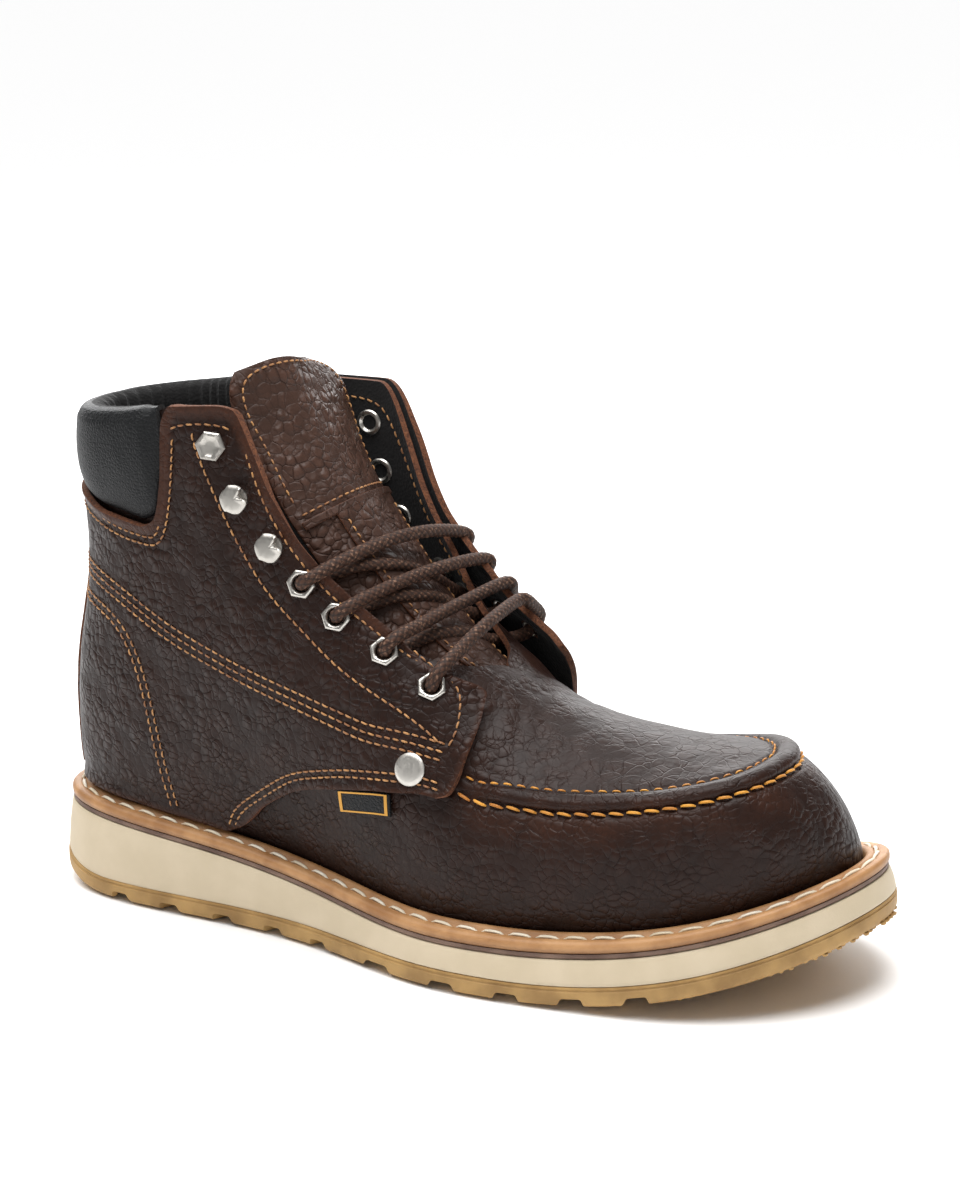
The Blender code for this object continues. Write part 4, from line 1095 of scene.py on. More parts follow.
def pull_up_leather(name, pebble_mm, relief_mm, shade="#140b08", light="#2b1a14", rubbed_tone="#4c2c1d"):
    """Oiled pull-up leather, drum pebbled: dark brown, satin, redder where it is bent or rubbed, with painted
    shade in the creases between the pebbles.

    Soft pebbles swell and fade in patches. Where the sheet is sleek they give way to a fine crackle."""
    made, shader, place = new_material(name, {"IOR": 1.27})
    sway = add_node(made, "ShaderNodeTexNoise", None,
                    {"Vector": place, "Scale": 1 / (2.4 * pebble_mm * MM), "Detail": 1.5})
    reach = 1.5 * pebble_mm * MM
    swayed = add_node(made, "ShaderNodeVectorMath", {"operation": "MULTIPLY_ADD"},
                      {0: sway.outputs["Color"], 1: (reach, reach, reach), 2: place})
    lines = []
    for size, spread in ((pebble_mm, 0.10), (CRACKLE_MM, 0.08)):
        cells = add_node(made, "ShaderNodeTexVoronoi", {"feature": "DISTANCE_TO_EDGE"},
                         {"Vector": swayed.outputs["Vector"], "Scale": 1 / (size * MM)})
        swell = add_node(made, "ShaderNodeMapRange", {"interpolation_type": "SMOOTHSTEP"},
                         {"Value": cells.outputs["Distance"], "From Max": spread})
        lines.append(swell.outputs["Result"])
    furrow, crack = lines
    domes = add_node(made, "ShaderNodeTexVoronoi", None,
                     {"Vector": swayed.outputs["Vector"], "Scale": 1 / (pebble_mm * MM)})
    squared = add_node(made, "ShaderNodeMath", {"operation": "POWER"},
                       {0: domes.outputs["Distance"], 1: 2.0})
    pebble = add_node(made, "ShaderNodeMath", {"operation": "MULTIPLY_ADD", "use_clamp": True},
                      {0: squared.outputs["Value"], 1: -1.3, 2: 1.0})
    patch = add_node(made, "ShaderNodeTexNoise", None,
                     {"Vector": place, "Scale": 1 / (8 * MM), "Detail": 2.0})
    strength = add_node(made, "ShaderNodeMapRange", {"interpolation_type": "SMOOTHSTEP"},
                        {"Value": patch.outputs["Fac"], "From Min": 0.36, "From Max": 0.62, "To Min": 0.25})
    pores = add_node(made, "ShaderNodeTexNoise", None,
                     {"Vector": place, "Scale": 1 / (1.1 * MM), "Detail": 4.0})
    fine = add_node(made, "ShaderNodeMath", {"operation": "MULTIPLY"}, {0: pores.outputs["Fac"], 1: 0.16})
    grooved = add_node(made, "ShaderNodeMath", {"operation": "MULTIPLY_ADD"},
                       {0: furrow, 1: 0.3, 2: pebble.outputs["Value"]})
    raised = add_node(made, "ShaderNodeMath", {"operation": "MULTIPLY"},
                      {0: grooved.outputs["Value"], 1: strength.outputs["Result"]})
    pebbled = add_node(made, "ShaderNodeMath", {"operation": "ADD"},
                       {0: raised.outputs["Value"], 1: fine.outputs["Value"]})
    lined = add_node(made, "ShaderNodeMath", {"operation": "MULTIPLY"},
                     {0: crack, 1: strength.outputs["Result"]})
    crackled = add_node(made, "ShaderNodeMath", {"operation": "MULTIPLY_ADD"},
                        {0: lined.outputs["Value"], 1: 0.45, 2: fine.outputs["Value"]})
    sleek = add_node(made, "ShaderNodeAttribute", {"attribute_name": "sleek"})
    height = add_node(made, "ShaderNodeMixRGB", None,
                      {"Fac": sleek.outputs["Fac"], "Color1": pebbled.outputs["Value"],
                       "Color2": crackled.outputs["Value"]})
    bump = add_node(made, "ShaderNodeBump", None,
                    {"Strength": 1.0, "Distance": relief_mm * MM, "Height": height.outputs["Color"]})
    cloud = add_node(made, "ShaderNodeTexNoise", None,
                     {"Vector": place, "Scale": 1 / (18 * MM), "Detail": 5.0})
    # Painted shade: the colour is darker in the creases between the pebbles and lighter on their raised tops,
    # over random clouds of tone.
    tone = add_node(made, "ShaderNodeMath", {"operation": "MULTIPLY_ADD", "use_clamp": True},
                    {0: raised.outputs["Value"], 1: 0.4, 2: cloud.outputs["Fac"]})
    body = add_node(made, "ShaderNodeMixRGB", None,
                    {"Fac": tone.outputs["Value"], "Color1": linear(shade), "Color2": linear(light)})
    wear = add_node(made, "ShaderNodeAttribute", {"attribute_name": "wear"})
    rub = add_node(made, "ShaderNodeMath", {"operation": "MULTIPLY", "use_clamp": True},
                   {0: wear.outputs["Fac"], 1: pores.outputs["Fac"]})
    colour = add_node(made, "ShaderNodeMixRGB", None,
                      {"Fac": rub.outputs["Value"], "Color1": body.outputs["Color"],
                       "Color2": linear(rubbed_tone)})
    gloss = add_node(made, "ShaderNodeMapRange", None,
                     {"Value": height.outputs["Color"], "From Max": 1.4, "To Min": 0.47, "To Max": 0.35})
    return wire(made, shader, {"Base Color": colour.outputs["Color"], "Roughness": gloss.outputs["Result"],
                               "Normal": bump.outputs["Normal"]})


def raw_edge(name, shade, light):
    """Cut edge of the leather, left raw: red-brown, matt and fibrous."""
    made, shader, place = new_material(name, {"Roughness": 0.85, "IOR": 1.45})
    fibre = add_node(made, "ShaderNodeTexNoise", None,
                     {"Vector": place, "Scale": 1 / (1.1 * MM), "Detail": 4.0, "Distortion": 1.2})
    tone = add_node(made, "ShaderNodeMapRange", None,
                    {"Value": fibre.outputs["Fac"], "From Min": 0.3, "From Max": 0.7})
    colour = add_node(made, "ShaderNodeMixRGB", None,
                      {"Fac": tone.outputs["Result"], "Color1": linear(shade), "Color2": linear(light)})
    bump = add_node(made, "ShaderNodeBump", None,
                    {"Strength": 1.0, "Distance": 0.5 * MM, "Height": fibre.outputs["Fac"]})
    return wire(made, shader, {"Base Color": colour.outputs["Color"], "Normal": bump.outputs["Normal"]})


cut_edge = raw_edge("leather_edge_raw", "#3c2015", "#7a4a2e")
vamp_leather = pull_up_leather("vamp_leather_oiled", pebble_mm=2.7, relief_mm=0.4)
give_wall(vamp, WALL, (vamp_leather, lining, cut_edge))
smooth_shade(vamp, 60.0)
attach(vamp, "root")
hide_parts("upper")

# Toe seam thread: thick waxed orange-yellow thread. The outer row holds vamp and apron together at the foot
# of the raised roll, and a finer row runs inside it.


def seam_route(knots, lift):
    """A toe seam from the lateral side round the toe to the medial side."""
    near, near_up = route_on(lambda s, t, side: outer(s, t, side, lift), knots, -1)
    far, far_up = route_on(lambda s, t, side: outer(s, t, side, lift), knots, 1)
    return np.concatenate([near, far[-2::-1]]), np.concatenate([near_up, far_up[-2::-1]])


toe_thread = thread_piece("toe_seam_thread", [
    stitch_points(*seam_route(TOE_OUTER, lift=0.1), long=4.7, pitch=5.7, thick=1.0, proud=0.4, lean=0.7),
    stitch_points(*seam_route(TOE_INNER, lift=0.0), long=2.7, pitch=4.4, thick=0.75, proud=0.2, lean=0.2),
])
toe_thread.data.materials.append(waxed_thread("toe_thread_waxed", "#b26d18", "#dd9a2e"))
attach(toe_thread, "root")

# Tongue: a sheet of heavily pebbled leather under the throat, with raw cut edges. A narrower lower panel is
# sewn on its front, and a folded strip with a row of stitches hides the join.
TONGUE_COLUMNS = ("x", "z", "half_lateral", "half_medial", "sag_lateral", "sag_medial")
TONGUE_ROWS = [
    (38.0, 80.0, 10.0, 10.0, 2.0, 2.0),
    (24.0, 88.0, 13.0, 13.0, 3.5, 3.5),
    (12.0, 95.5, 17.0, 17.0, 6.0, 5.0),
    (-2.0, 108.0, 20.0, 21.0, 9.0, 6.0),
    (-14.0, 122.0, 22.0, 24.0, 11.5, 6.5),
    (-26.0, 138.0, 23.0, 26.0, 13.0, 7.0),
    (-36.0, 154.0, 23.5, 28.5, 14.0, 8.5),
    (-44.0, 168.0, 23.0, 30.0, 14.0, 6.5),
    (-50.0, 180.0, 23.5, 28.0, 15.0, 4.5),
    (-53.5, 188.0, 21.5, 17.0, 12.5, 5.5),
]
TONGUE_WALL = 2.6
CORNER_V = 0.90
CORNER_IN = (0.10, 0.24)
CORNER_RISE = 2.9
CORNER_U = 0.35
CORNER_FROM_V = 0.82
CORNER_SPAN_V = 0.18
JOIN_V = 0.59


def tongue_surface(u, v):
    """Front face of the tongue: u runs across from lateral to medial, v from the toe end to the top."""
    at = np.linspace(0, 1, len(TONGUE_ROWS))
    get = {name: natural(at, column(TONGUE_ROWS, TONGUE_COLUMNS, name), v) for name in TONGUE_COLUMNS}
    step = 1e-3
    dx = natural(at, column(TONGUE_ROWS, TONGUE_COLUMNS, "x"), v + step) - get["x"]
    dz = natural(at, column(TONGUE_ROWS, TONGUE_COLUMNS, "z"), v + step) - get["z"]
    size = np.hypot(dx, dz)
    half = np.where(u < 0, get["half_lateral"], get["half_medial"])
    pinch = np.where(u < 0, *CORNER_IN)
    half = half * (1 - pinch * np.clip((v - CORNER_V) / (1 - CORNER_V), 0, 1) ** 2.5)
    sag = np.where(u < 0, get["sag_lateral"], get["sag_medial"]) * u * u
    corner = CORNER_RISE * ease(CORNER_U - np.asarray(u)) * rise(v, CORNER_FROM_V, CORNER_SPAN_V)
    return np.stack([get["x"] - sag * dz / size, u * half, get["z"] + sag * dx / size + corner], -1)


def tongue_face(u, v, lift=0.0):
    """Place on the tongue, lifted along its normal, and that normal."""
    u = np.asarray(u, float)
    v = np.asarray(v, float)
    step = 2e-3
    across = tongue_surface(np.clip(u + step, -1, 1), v) - tongue_surface(np.clip(u - step, -1, 1), v)
    up = tongue_surface(u, np.clip(v + step, 0, 1)) - tongue_surface(u, np.clip(v - step, 0, 1))
    normal = unit(np.cross(across, up))
    return tongue_surface(u, v) + normal * np.asarray(lift, float)[..., None], normal


TONGUE_SEED = 20
RUBBED_EDGE = 0.035


def tongue_sheet(name, u_ends, v_ends, counts, lift, wall, reliefs, sleek, covers):
    """A sheet of leather on the face of the tongue, with its own unevenness and raw edges."""
    u, v = np.meshgrid(np.linspace(*u_ends, counts[0]), np.linspace(*v_ends, counts[1]), indexing="ij")
    points, _ = tongue_face(u, v, np.full(u.shape, lift))
    made = new_piece(name, points.reshape(-1, 3), grid_quads(*u.shape))
    places = points_of(made)
    uneven = [depth * wrinkle(places, size, TONGUE_SEED + k) for k, (size, depth) in enumerate(reliefs)]
    press(made, sum(uneven))
    span = np.minimum(np.abs(u - u_ends[0]), np.abs(u - u_ends[1])).ravel() / abs(u_ends[1] - u_ends[0])
    set_attribute(made, "wear", np.clip(1 - span / RUBBED_EDGE, 0, 1) * 0.8)
    set_attribute(made, "sleek", np.full(len(places), sleek))
    give_wall(made, wall, covers)
    soften_rim(made, 0.35)
    smooth_shade(made, 60.0)
    return made


# Painted sheen: the tongue's leather is a lighter copy of the pull-up leather of the vamp and quarters,
# standing in for the sheen on its upturned face; the lower panel and the join strip use it too.
tongue_leather = pull_up_leather("tongue_leather_pebbled_painted_sheen", pebble_mm=3.5, relief_mm=1.0,
                                 shade="#251812", light="#4d372e")
tongue = tongue_sheet("tongue_leather", u_ends=(-1.0, 1.0), v_ends=(0.0, 1.0), counts=(60, 150), lift=0.0,
                      wall=TONGUE_WALL, reliefs=[(16.0, 0.3), (6.0, 0.16)], sleek=0.0,
                      covers=(tongue_leather, lining, cut_edge))
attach(tongue, "root")
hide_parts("tongue")

PANEL_U = (-0.55, 0.80)
PANEL_LIFT = 1.3
panel_covers = (tongue_leather, cut_edge, cut_edge)
tongue_panel = tongue_sheet("tongue_lower_panel", u_ends=PANEL_U, v_ends=(0.06, JOIN_V), counts=(48, 96),
                            lift=PANEL_LIFT, wall=1.2, reliefs=[(14.0, 0.25), (5.0, 0.16)], sleek=0.0,
                            covers=panel_covers)
tongue_strip = tongue_sheet("tongue_join_strip", u_ends=(-0.93, 0.96),
                            v_ends=(JOIN_V - 0.006, JOIN_V + 0.009),
                            counts=(60, 6), lift=1.5, wall=1.4, reliefs=[(9.0, 0.12)], sleek=1.0,
                            covers=panel_covers)
for made in (tongue_panel, tongue_strip):
    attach(made, "root")


def tongue_route(knots, lift, count=160):
    """Points and normals of a line on the tongue through (u, v) places."""
    knots = np.array(knots, float)
    at = np.linspace(0, 1, len(knots))
    w = np.linspace(0, 1, count)
    return tongue_face(natural(at, knots[:, 0], w), natural(at, knots[:, 1], w), np.full(count, lift))


STRIP_STITCH_V = JOIN_V + 0.021
PANEL_STITCH_U = (PANEL_U[0] + 0.09, PANEL_U[1] - 0.09)
# Stitch rows of the tongue: (u, v) places and lift.
TONGUE_STITCHES = [
    ([(-0.89, 0.63), (-0.89, 0.78), (-0.88, 0.90), (-0.78, 0.962), (-0.42, 0.973), (0.0, 0.976),
      (0.42, 0.973), (0.78, 0.958), (0.88, 0.90), (0.90, 0.78), (0.90, 0.63)], 0.0),
    ([(u, STRIP_STITCH_V) for u in (-0.90, 0.0, 0.93)], 0.0),
    ([(PANEL_STITCH_U[0], v) for v in (0.10, 0.35, JOIN_V - 0.02)], PANEL_LIFT),
    ([(PANEL_STITCH_U[1], v) for v in (0.10, 0.35, JOIN_V - 0.02)], PANEL_LIFT),
]
leather_thread = waxed_thread("leather_thread_waxed", "#8a5831", "#bf8a52")
tongue_thread = thread_piece("tongue_thread", [
    stitch_points(*tongue_route(knots, lift), long=2.0, pitch=2.8, thick=0.65, proud=0.25)
    for knots, lift in TONGUE_STITCHES])
tongue_thread.data.materials.append(leather_thread)
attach(tongue_thread, "root")

# Quarters: the two outer panels of the shaft, cut in thick pebbled leather with raw edges. Each lies on the
# shaft and ends forward in the eyelet flap, which stands a little off the vamp.
SKIN_GAP = 0.75
QUARTER_WALL = 2.2
FLAP_END = 0.545
QUARTER_COLUMNS = ("s", "low", "top")
QUARTER_ROWS = [
    (0.000, 0.015, 0.790),
    (0.100, 0.015, 0.780),
    (0.200, 0.015, 0.750),
    (0.270, 0.015, 0.750),
    (0.300, 0.015, 0.775),
    (0.318, 0.015, 0.850),
    (0.340, 0.015, 0.975),
    (0.360, 0.050, 1.000),
    (0.385, 0.140, 1.000),
    (0.430, 0.258, 1.000),
    (0.490, 0.344, 1.000),
    (0.520, 0.374, 0.995),
    (0.545, 0.412, 0.960),
    (0.580, 0.450, 0.960),
]
FRONT_COLUMNS = ("part", "s")
FRONT_ROWS = [
    (0.00, 0.549),
    (0.05, 0.558),
    (0.30, 0.567),
    (0.52, 0.572),
    (0.65, 0.572),
    (0.74, 0.566),
    (0.82, 0.553),
    (0.90, 0.537),
    (1.00, 0.512),
]
FLAP_TOP = SKIN_GAP + QUARTER_WALL
HEEL_END = 0.004
SHAPED_FROM = 0.43


def quarter_edge(name, s):
    """Level of the quarter's lower or top edge at s."""
    at = column(QUARTER_ROWS, QUARTER_COLUMNS, "s")
    return smooth(at, column(QUARTER_ROWS, QUARTER_COLUMNS, name), s)


def quarter_places(part_s, part_t, side):
    """Places on the shaft for parts of the panel's length and height."""
    nominal = HEEL_END + part_s * (FLAP_END - HEEL_END)
    parts = column(FRONT_ROWS, FRONT_COLUMNS, "part")
    front = smooth(parts, column(FRONT_ROWS, FRONT_COLUMNS, "s"), part_t)
    s = nominal + (front - FLAP_END) * rise(nominal, SHAPED_FROM, FLAP_END - SHAPED_FROM)
    low = quarter_edge("low", s)
    top = quarter_edge("top", s) - throat_cut(s, side)
    return s, low + (top - low) * part_t


def flap_face(s, t, side):
    """Outer face of the quarter."""
    return skin(s, t, side) + skin_normal(s, t, side) * (FLAP_TOP + flap_lift(s, t, side))[..., None]


def edge_route(side, which, count=240):
    """The top, the lower or the front edge of a quarter, as points."""
    run = np.linspace(0, 1, count)
    parts = {"top": (run, np.ones(count)), "low": (run, np.zeros(count)), "front": (np.ones(count), run)}
    s, t = quarter_places(*parts[which], side)
    return flap_face(s, t, side)


# Stitch rows of the quarter: (s, t) places, sideways shifts in millimetres, and stitch length.
QUARTER_SEAMS = [
    ([(0.045, 0.545), (0.115, 0.540), (0.200, 0.528), (0.260, 0.518), (0.330, 0.510), (0.400, 0.508),
      (0.470, 0.510), (0.505, 0.520), (0.553, 0.572)], (-2.7, 0.0, 2.7), 2.3),
    ([(0.045, 0.468), (0.110, 0.462), (0.190, 0.450), (0.238, 0.390), (0.262, 0.290), (0.276, 0.156),
      (0.289, 0.022)], (-1.4, 1.4), 2.3),
    ([(0.350, 0.028), (0.361, 0.090), (0.383, 0.160), (0.412, 0.247), (0.436, 0.302), (0.471, 0.357),
      (0.506, 0.392), (0.526, 0.414), (0.553, 0.450)], (0.0,), 2.3),
    ([(0.344, 0.021), (0.354, 0.089), (0.377, 0.165), (0.408, 0.258), (0.435, 0.322), (0.472, 0.378),
      (0.506, 0.413), (0.526, 0.436), (0.553, 0.472)], (0.0,), 2.3),
    ([(0.045, 0.755), (0.105, 0.745), (0.200, 0.712), (0.268, 0.712), (0.302, 0.735), (0.326, 0.830),
      (0.347, 0.945)], (-1.0, 1.6), 2.0),
    ([(0.348, 0.955), (0.372, 0.966), (0.400, 0.966), (0.414, 0.960)], (0.0,), 2.3),
    ([(0.376, 0.955), (0.377, 0.920), (0.386, 0.849), (0.399, 0.773), (0.422, 0.690), (0.449, 0.663),
      (0.484, 0.650), (0.521, 0.636), (0.549, 0.592)], (0.0,), 2.3),
    ([(0.524, 0.890), (0.537, 0.860), (0.551, 0.810), (0.558, 0.750), (0.559, 0.660), (0.554, 0.585)],
     (0.0,), 2.3),
    ([(0.424, 0.930), (0.434, 0.850), (0.455, 0.822), (0.485, 0.842), (0.512, 0.855), (0.538, 0.848)],
     (0.0,), 2.3),
]


def beside(points, normals, shift):
    """A route moved sideways on its surface."""
    ahead = np.gradient(points, axis=0)
    across = unit(np.cross(ahead, normals))
    return points + across * shift, normals


QUARTER_GRID = (240, 92)
SEAM_PULL = 0.3
SEAM_PULL_WIDTH = 1.5
BAND_WIDTH = 5.2
LIP_WIDTH = 2.2
HEM_WIDTH = 4.5
quarter_leather = pull_up_leather("quarter_leather_pebbled", pebble_mm=2.7, relief_mm=0.52)
# Creases of the quarter: (s, t) places, width and depth in millimetres.
QUARTER_CREASES = [
    ([(0.150, 0.66), (0.210, 0.63), (0.280, 0.64)], 5.0, 0.30),
    ([(0.120, 0.60), (0.200, 0.58), (0.300, 0.60)], 5.0, 0.22),
    ([(0.300, 0.70), (0.330, 0.66), (0.345, 0.58)], 5.5, 0.30),
    ([(0.340, 0.80), (0.360, 0.72), (0.370, 0.62)], 5.0, 0.22),
    ([(0.250, 0.42), (0.310, 0.38), (0.350, 0.30)], 6.0, 0.25),
    ([(0.290, 0.30), (0.330, 0.24), (0.350, 0.14)], 5.0, 0.22),
    ([(0.300, 0.45), (0.360, 0.42), (0.410, 0.40)], 5.0, 0.22),
    ([(0.420, 0.46), (0.450, 0.44), (0.480, 0.46)], 4.0, 0.20),
    ([(0.100, 0.30), (0.160, 0.26), (0.220, 0.28)], 6.0, 0.18),
]
for side, word in ((-1, "lateral"), (1, "medial")):
    part_s, part_t = np.meshgrid(*[np.linspace(0, 1, steps) for steps in QUARTER_GRID], indexing="ij")
    s, t = quarter_places(part_s, part_t, side)
    points = flap_face(s, t, side).reshape(-1, 3)
    quads = grid_quads(*QUARTER_GRID)
    if side > 0:
        quads = [quad[::-1] for quad in quads]
    quarter = new_piece(f"quarter_{word}_leather", points, quads)
    relief = (0.28 * wrinkle(points, size=15.0, seed=4 + side)
              + 0.12 * wrinkle(points, size=6.0, seed=7 + side))
    for knots, width, depth in QUARTER_CREASES:
        relief = relief - depth * trough(points, route_on(flap_face, knots, side, CREASE_STEPS)[0], width)
    for knots, shifts, _ in QUARTER_SEAMS:
        for shift in shifts:
            row, _ = beside(*route_on(flap_face, knots, side), shift * side)
            relief = relief - SEAM_PULL * trough(points, row, SEAM_PULL_WIDTH)
    hems = np.concatenate([edge_route(side, which) for which in ("top", "front", "low")])
    band = ease(1.6 * trough(points, edge_route(side, "top"), BAND_WIDTH))
    lip = trough(points, hems, LIP_WIDTH)
    press(quarter, relief + 0.25 * band + 0.9 * trough(points, hems, HEM_WIDTH))
    set_attribute(quarter, "wear", np.clip(1.2 * band + 0.8 * lip, 0, 1))
    set_attribute(quarter, "sleek", 0.6 * band)
    punch(quarter, [flap_face(np.array(a), np.array(b), side) for a, b in EYELETS[side]], PUNCH_R)
    give_wall(quarter, QUARTER_WALL, (quarter_leather, lining, cut_edge))
    soften_rim(quarter, 0.45)
    smooth_shade(quarter, 60.0)
    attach(quarter, "root")
    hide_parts(f"quarter_{word}")

# Quarter thread: rows of waxed ochre lockstitch, three along the ankle, two round the heel and
# the lower edge.
STITCH_GAP = 0.75
STITCH_THICK = 0.68
rows = []
for side in (-1, 1):
    for knots, shifts, long in QUARTER_SEAMS:
        for shift in shifts:
            route, ups = beside(*route_on(flap_face, knots, side), shift * side)
            rows.append(stitch_points(route, ups, long, long + STITCH_GAP, STITCH_THICK, proud=0.2, lean=0.2))
FLAP_BACK_SEAM = [(0.375, 0.965), (0.405, 0.965), (0.422, 0.950), (0.440, 0.930), (0.470, 0.930),
                  (0.500, 0.920), (0.535, 0.900)]
FLAP_BACK_LONG = 2.3


def wall_back(s, t, side):
    """Lined inner face of the shaft."""
    return skin(s, t, side) + skin_normal(s, t, side) * (wall_lift(s, t, side) - WALL)[..., None]


route, ups = route_on(wall_back, FLAP_BACK_SEAM, 1)
rows.append(stitch_points(route, -ups, FLAP_BACK_LONG, FLAP_BACK_LONG + STITCH_GAP, STITCH_THICK,
                          proud=0.25, lean=0.2))
quarter_thread = thread_piece("quarter_thread", rows)
quarter_thread.data.materials.append(leather_thread)
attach(quarter_thread, "root")

# Collar: a padded cuff of smooth black leather over soft foam, rolled over the rim of the shaft.
# Its inner face is gathered lining, drawn into upright folds.
COLLAR_END = 0.328
COLLAR_COLUMNS = ("height", "offset", "lift")
COLLAR_ROWS = [
    (0.00, 0.5, 0.0),
    (0.04, 2.6, 0.0),
    (0.30, 4.4, 0.0),
    (0.65, 5.0, 0.0),
    (1.00, 4.2, 0.5),
    (1.00, 2.2, 3.4),
    (1.00, -1.5, 4.2),
    (1.00, -5.0, 2.6),
    (0.90, -6.4, 0.0),
    (0.55, -5.6, 0.0),
    (0.15, -3.6, 0.0),
]
COLLAR_POCKET = [
    (0.12, -2.6, 0.0),
    (1.00, -2.6, 0.6),
    (1.00, 0.5, 0.6),
]
COLLAR_STEPS = 44
COLLAR_AROUND = 181
FOLDS = 34
FOLD_DEPTH = 0.6
FOLD_FROM = 0.58
FOLD_RUN_IN = 0.1
LINING_FROM = 0.60
FOOT_GAP = 0.016
END_TAPER = 0.035


def collar_foot(s):
    """Lower edge of the collar, just above the quarter."""
    return quarter_edge("top", np.abs(s)) + FOOT_GAP


def fold_wave(place):
    """Uneven upright folds around the lining, from -1 to 1."""
    return math.sin(math.pi * FOLDS * place + 1.7 * math.sin(9 * place) + math.sin(23 * place))


section = np.linspace(0, 1, COLLAR_STEPS)
knots = np.linspace(0, 1, len(COLLAR_ROWS))
profile = [smooth(knots, column(COLLAR_ROWS, COLLAR_COLUMNS, name), section) for name in COLLAR_COLUMNS]
profile = np.concatenate([np.stack(profile, -1), np.array(COLLAR_POCKET)])
inner = np.concatenate([rise(section, FOLD_FROM, FOLD_RUN_IN), np.zeros(len(COLLAR_POCKET))])
around = COLLAR_END * np.sin(np.linspace(-0.5, 0.5, COLLAR_AROUND) * np.pi)
rings = np.zeros((COLLAR_AROUND, len(profile), 3))
fold_at = np.linspace(-1, 1, COLLAR_AROUND)
for i, place in enumerate(around):
    side = -1 if place < 0 else 1
    s = np.full(len(profile), abs(place))
    foot = collar_foot(s)
    t = foot + (1 - foot) * profile[:, 0]
    normal = skin_normal(s, t, side)
    if abs(place) < 1e-6:
        normal[:, 1] = 0.0
    pleat = FOLD_DEPTH * inner * fold_wave(fold_at[i])
    fullness = 0.5 + 0.5 * float(ease((COLLAR_END - abs(place)) / END_TAPER))
    rings[i] = skin(s, t, side) + normal * (fullness * profile[:, 1] + pleat)[:, None]
    rings[i, :, 2] += fullness * profile[:, 2]
faces = grid_quads(*rings.shape[:2], close_columns=True)
faces.append(tuple(range(rings.shape[1])))
size = rings.shape[0] * rings.shape[1]
faces.append(tuple(range(size - rings.shape[1], size)))
collar = new_piece("collar_padded", rings.reshape(-1, 3), faces)
close_seams(collar)
collar_at = nearest_marks(collar, rings.reshape(-1, 3), np.tile(np.arange(len(profile)), COLLAR_AROUND))
lined_row = int(LINING_FROM * COLLAR_STEPS)
collar_places = points_of(collar)
outside = (collar_at < lined_row).astype(float)
uneven = 0.35 * wrinkle(collar_places, size=16.0, seed=31) + 0.1 * wrinkle(collar_places, size=6.0, seed=32)
press(collar, outside * uneven)
smooth_shade(collar, 50.0)


def smooth_leather(name, shade, light, grain_mm, relief_mm, roughness):
    """Smooth garment leather: fine tight grain, soft satin, a little greyer in soft random clouds."""
    made, shader, place = new_material(name, {"Roughness": roughness, "IOR": 1.33})
    grain = add_node(made, "ShaderNodeTexVoronoi", {"feature": "DISTANCE_TO_EDGE"},
                     {"Vector": place, "Scale": 1 / (grain_mm * MM)})
    cells = add_node(made, "ShaderNodeMapRange", {"interpolation_type": "SMOOTHSTEP"},
                     {"Value": grain.outputs["Distance"], "From Max": 0.3})
    cloud = add_node(made, "ShaderNodeTexNoise", None,
                     {"Vector": place, "Scale": 1 / (14 * MM), "Detail": 4.0})
    colour = add_node(made, "ShaderNodeMixRGB", None,
                      {"Fac": cloud.outputs["Fac"], "Color1": linear(shade), "Color2": linear(light)})
    bump = add_node(made, "ShaderNodeBump", None,
                    {"Strength": 1.0, "Distance": relief_mm * MM, "Height": cells.outputs["Result"]})
    return wire(made, shader, {"Base Color": colour.outputs["Color"], "Normal": bump.outputs["Normal"]})


collar_leather = smooth_leather("collar_leather_smooth", "#0b0c0d", "#17181a", grain_mm=1.3, relief_mm=0.12,
                                roughness=0.5)
collar.data.materials.append(collar_leather)
collar.data.materials.append(lining)
face_rows = [max(collar_at[v] for v in face.vertices) for face in collar.data.polygons]
collar.data.polygons.foreach_set("material_index", [int(row >= lined_row) for row in face_rows])
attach(collar, "root")
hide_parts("collar")

# Backstay: a narrow strip of the same pebbled leather as the quarters. It covers the heel seam
# and is sewn down along both edges.
STAY_HALF = 0.04
STAY_FOOT = 0.03
STAY_TOP = 0.77
STAY_LIFT = FLAP_TOP + GAP + 0.1
STAY_WALL = 1.2
STAY_SEAM = STAY_HALF * 0.72
STAY_SEAM_T = (0.05, STAY_TOP - 0.02)
STAY_SEAM_STEPS = 120


def stay_face(a, t, lift):
    """Place and normal on the heel line, where a runs from the lateral side to the medial."""
    near = np.asarray(a)[..., None] <= 0
    s = np.abs(a)
    ups = np.where(near, skin_normal(s, t, -1), skin_normal(s, t, 1))
    ups[s < 1e-6, 1] = 0.0
    return np.where(near, skin(s, t, -1), skin(s, t, 1)) + ups * lift, ups


a, t = np.meshgrid(np.linspace(-STAY_HALF, STAY_HALF, 15),
                   np.linspace(STAY_FOOT, STAY_TOP, 90), indexing="ij")
stay_points, _ = stay_face(a, t, STAY_LIFT + STAY_WALL)
stay_quads = [quad[::-1] for quad in grid_quads(*a.shape)]
backstay = new_piece("backstay_leather", stay_points.reshape(-1, 3), stay_quads)
stay_places = points_of(backstay)
press(backstay, 0.12 * wrinkle(stay_places, size=8.0, seed=41))
set_attribute(backstay, "wear", 0.8 * rise(np.abs(a).ravel() / STAY_HALF, 0.8, 0.2))
set_attribute(backstay, "sleek", np.zeros(len(stay_places)))
give_wall(backstay, STAY_WALL, (quarter_leather, cut_edge, cut_edge))
soften_rim(backstay, 0.3)
smooth_shade(backstay, 60.0)
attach(backstay, "root")
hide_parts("backstay")
down = np.linspace(*STAY_SEAM_T, STAY_SEAM_STEPS)
seams = [stay_face(np.full(STAY_SEAM_STEPS, side * STAY_SEAM), down, STAY_LIFT + STAY_WALL)
         for side in (-1, 1)]
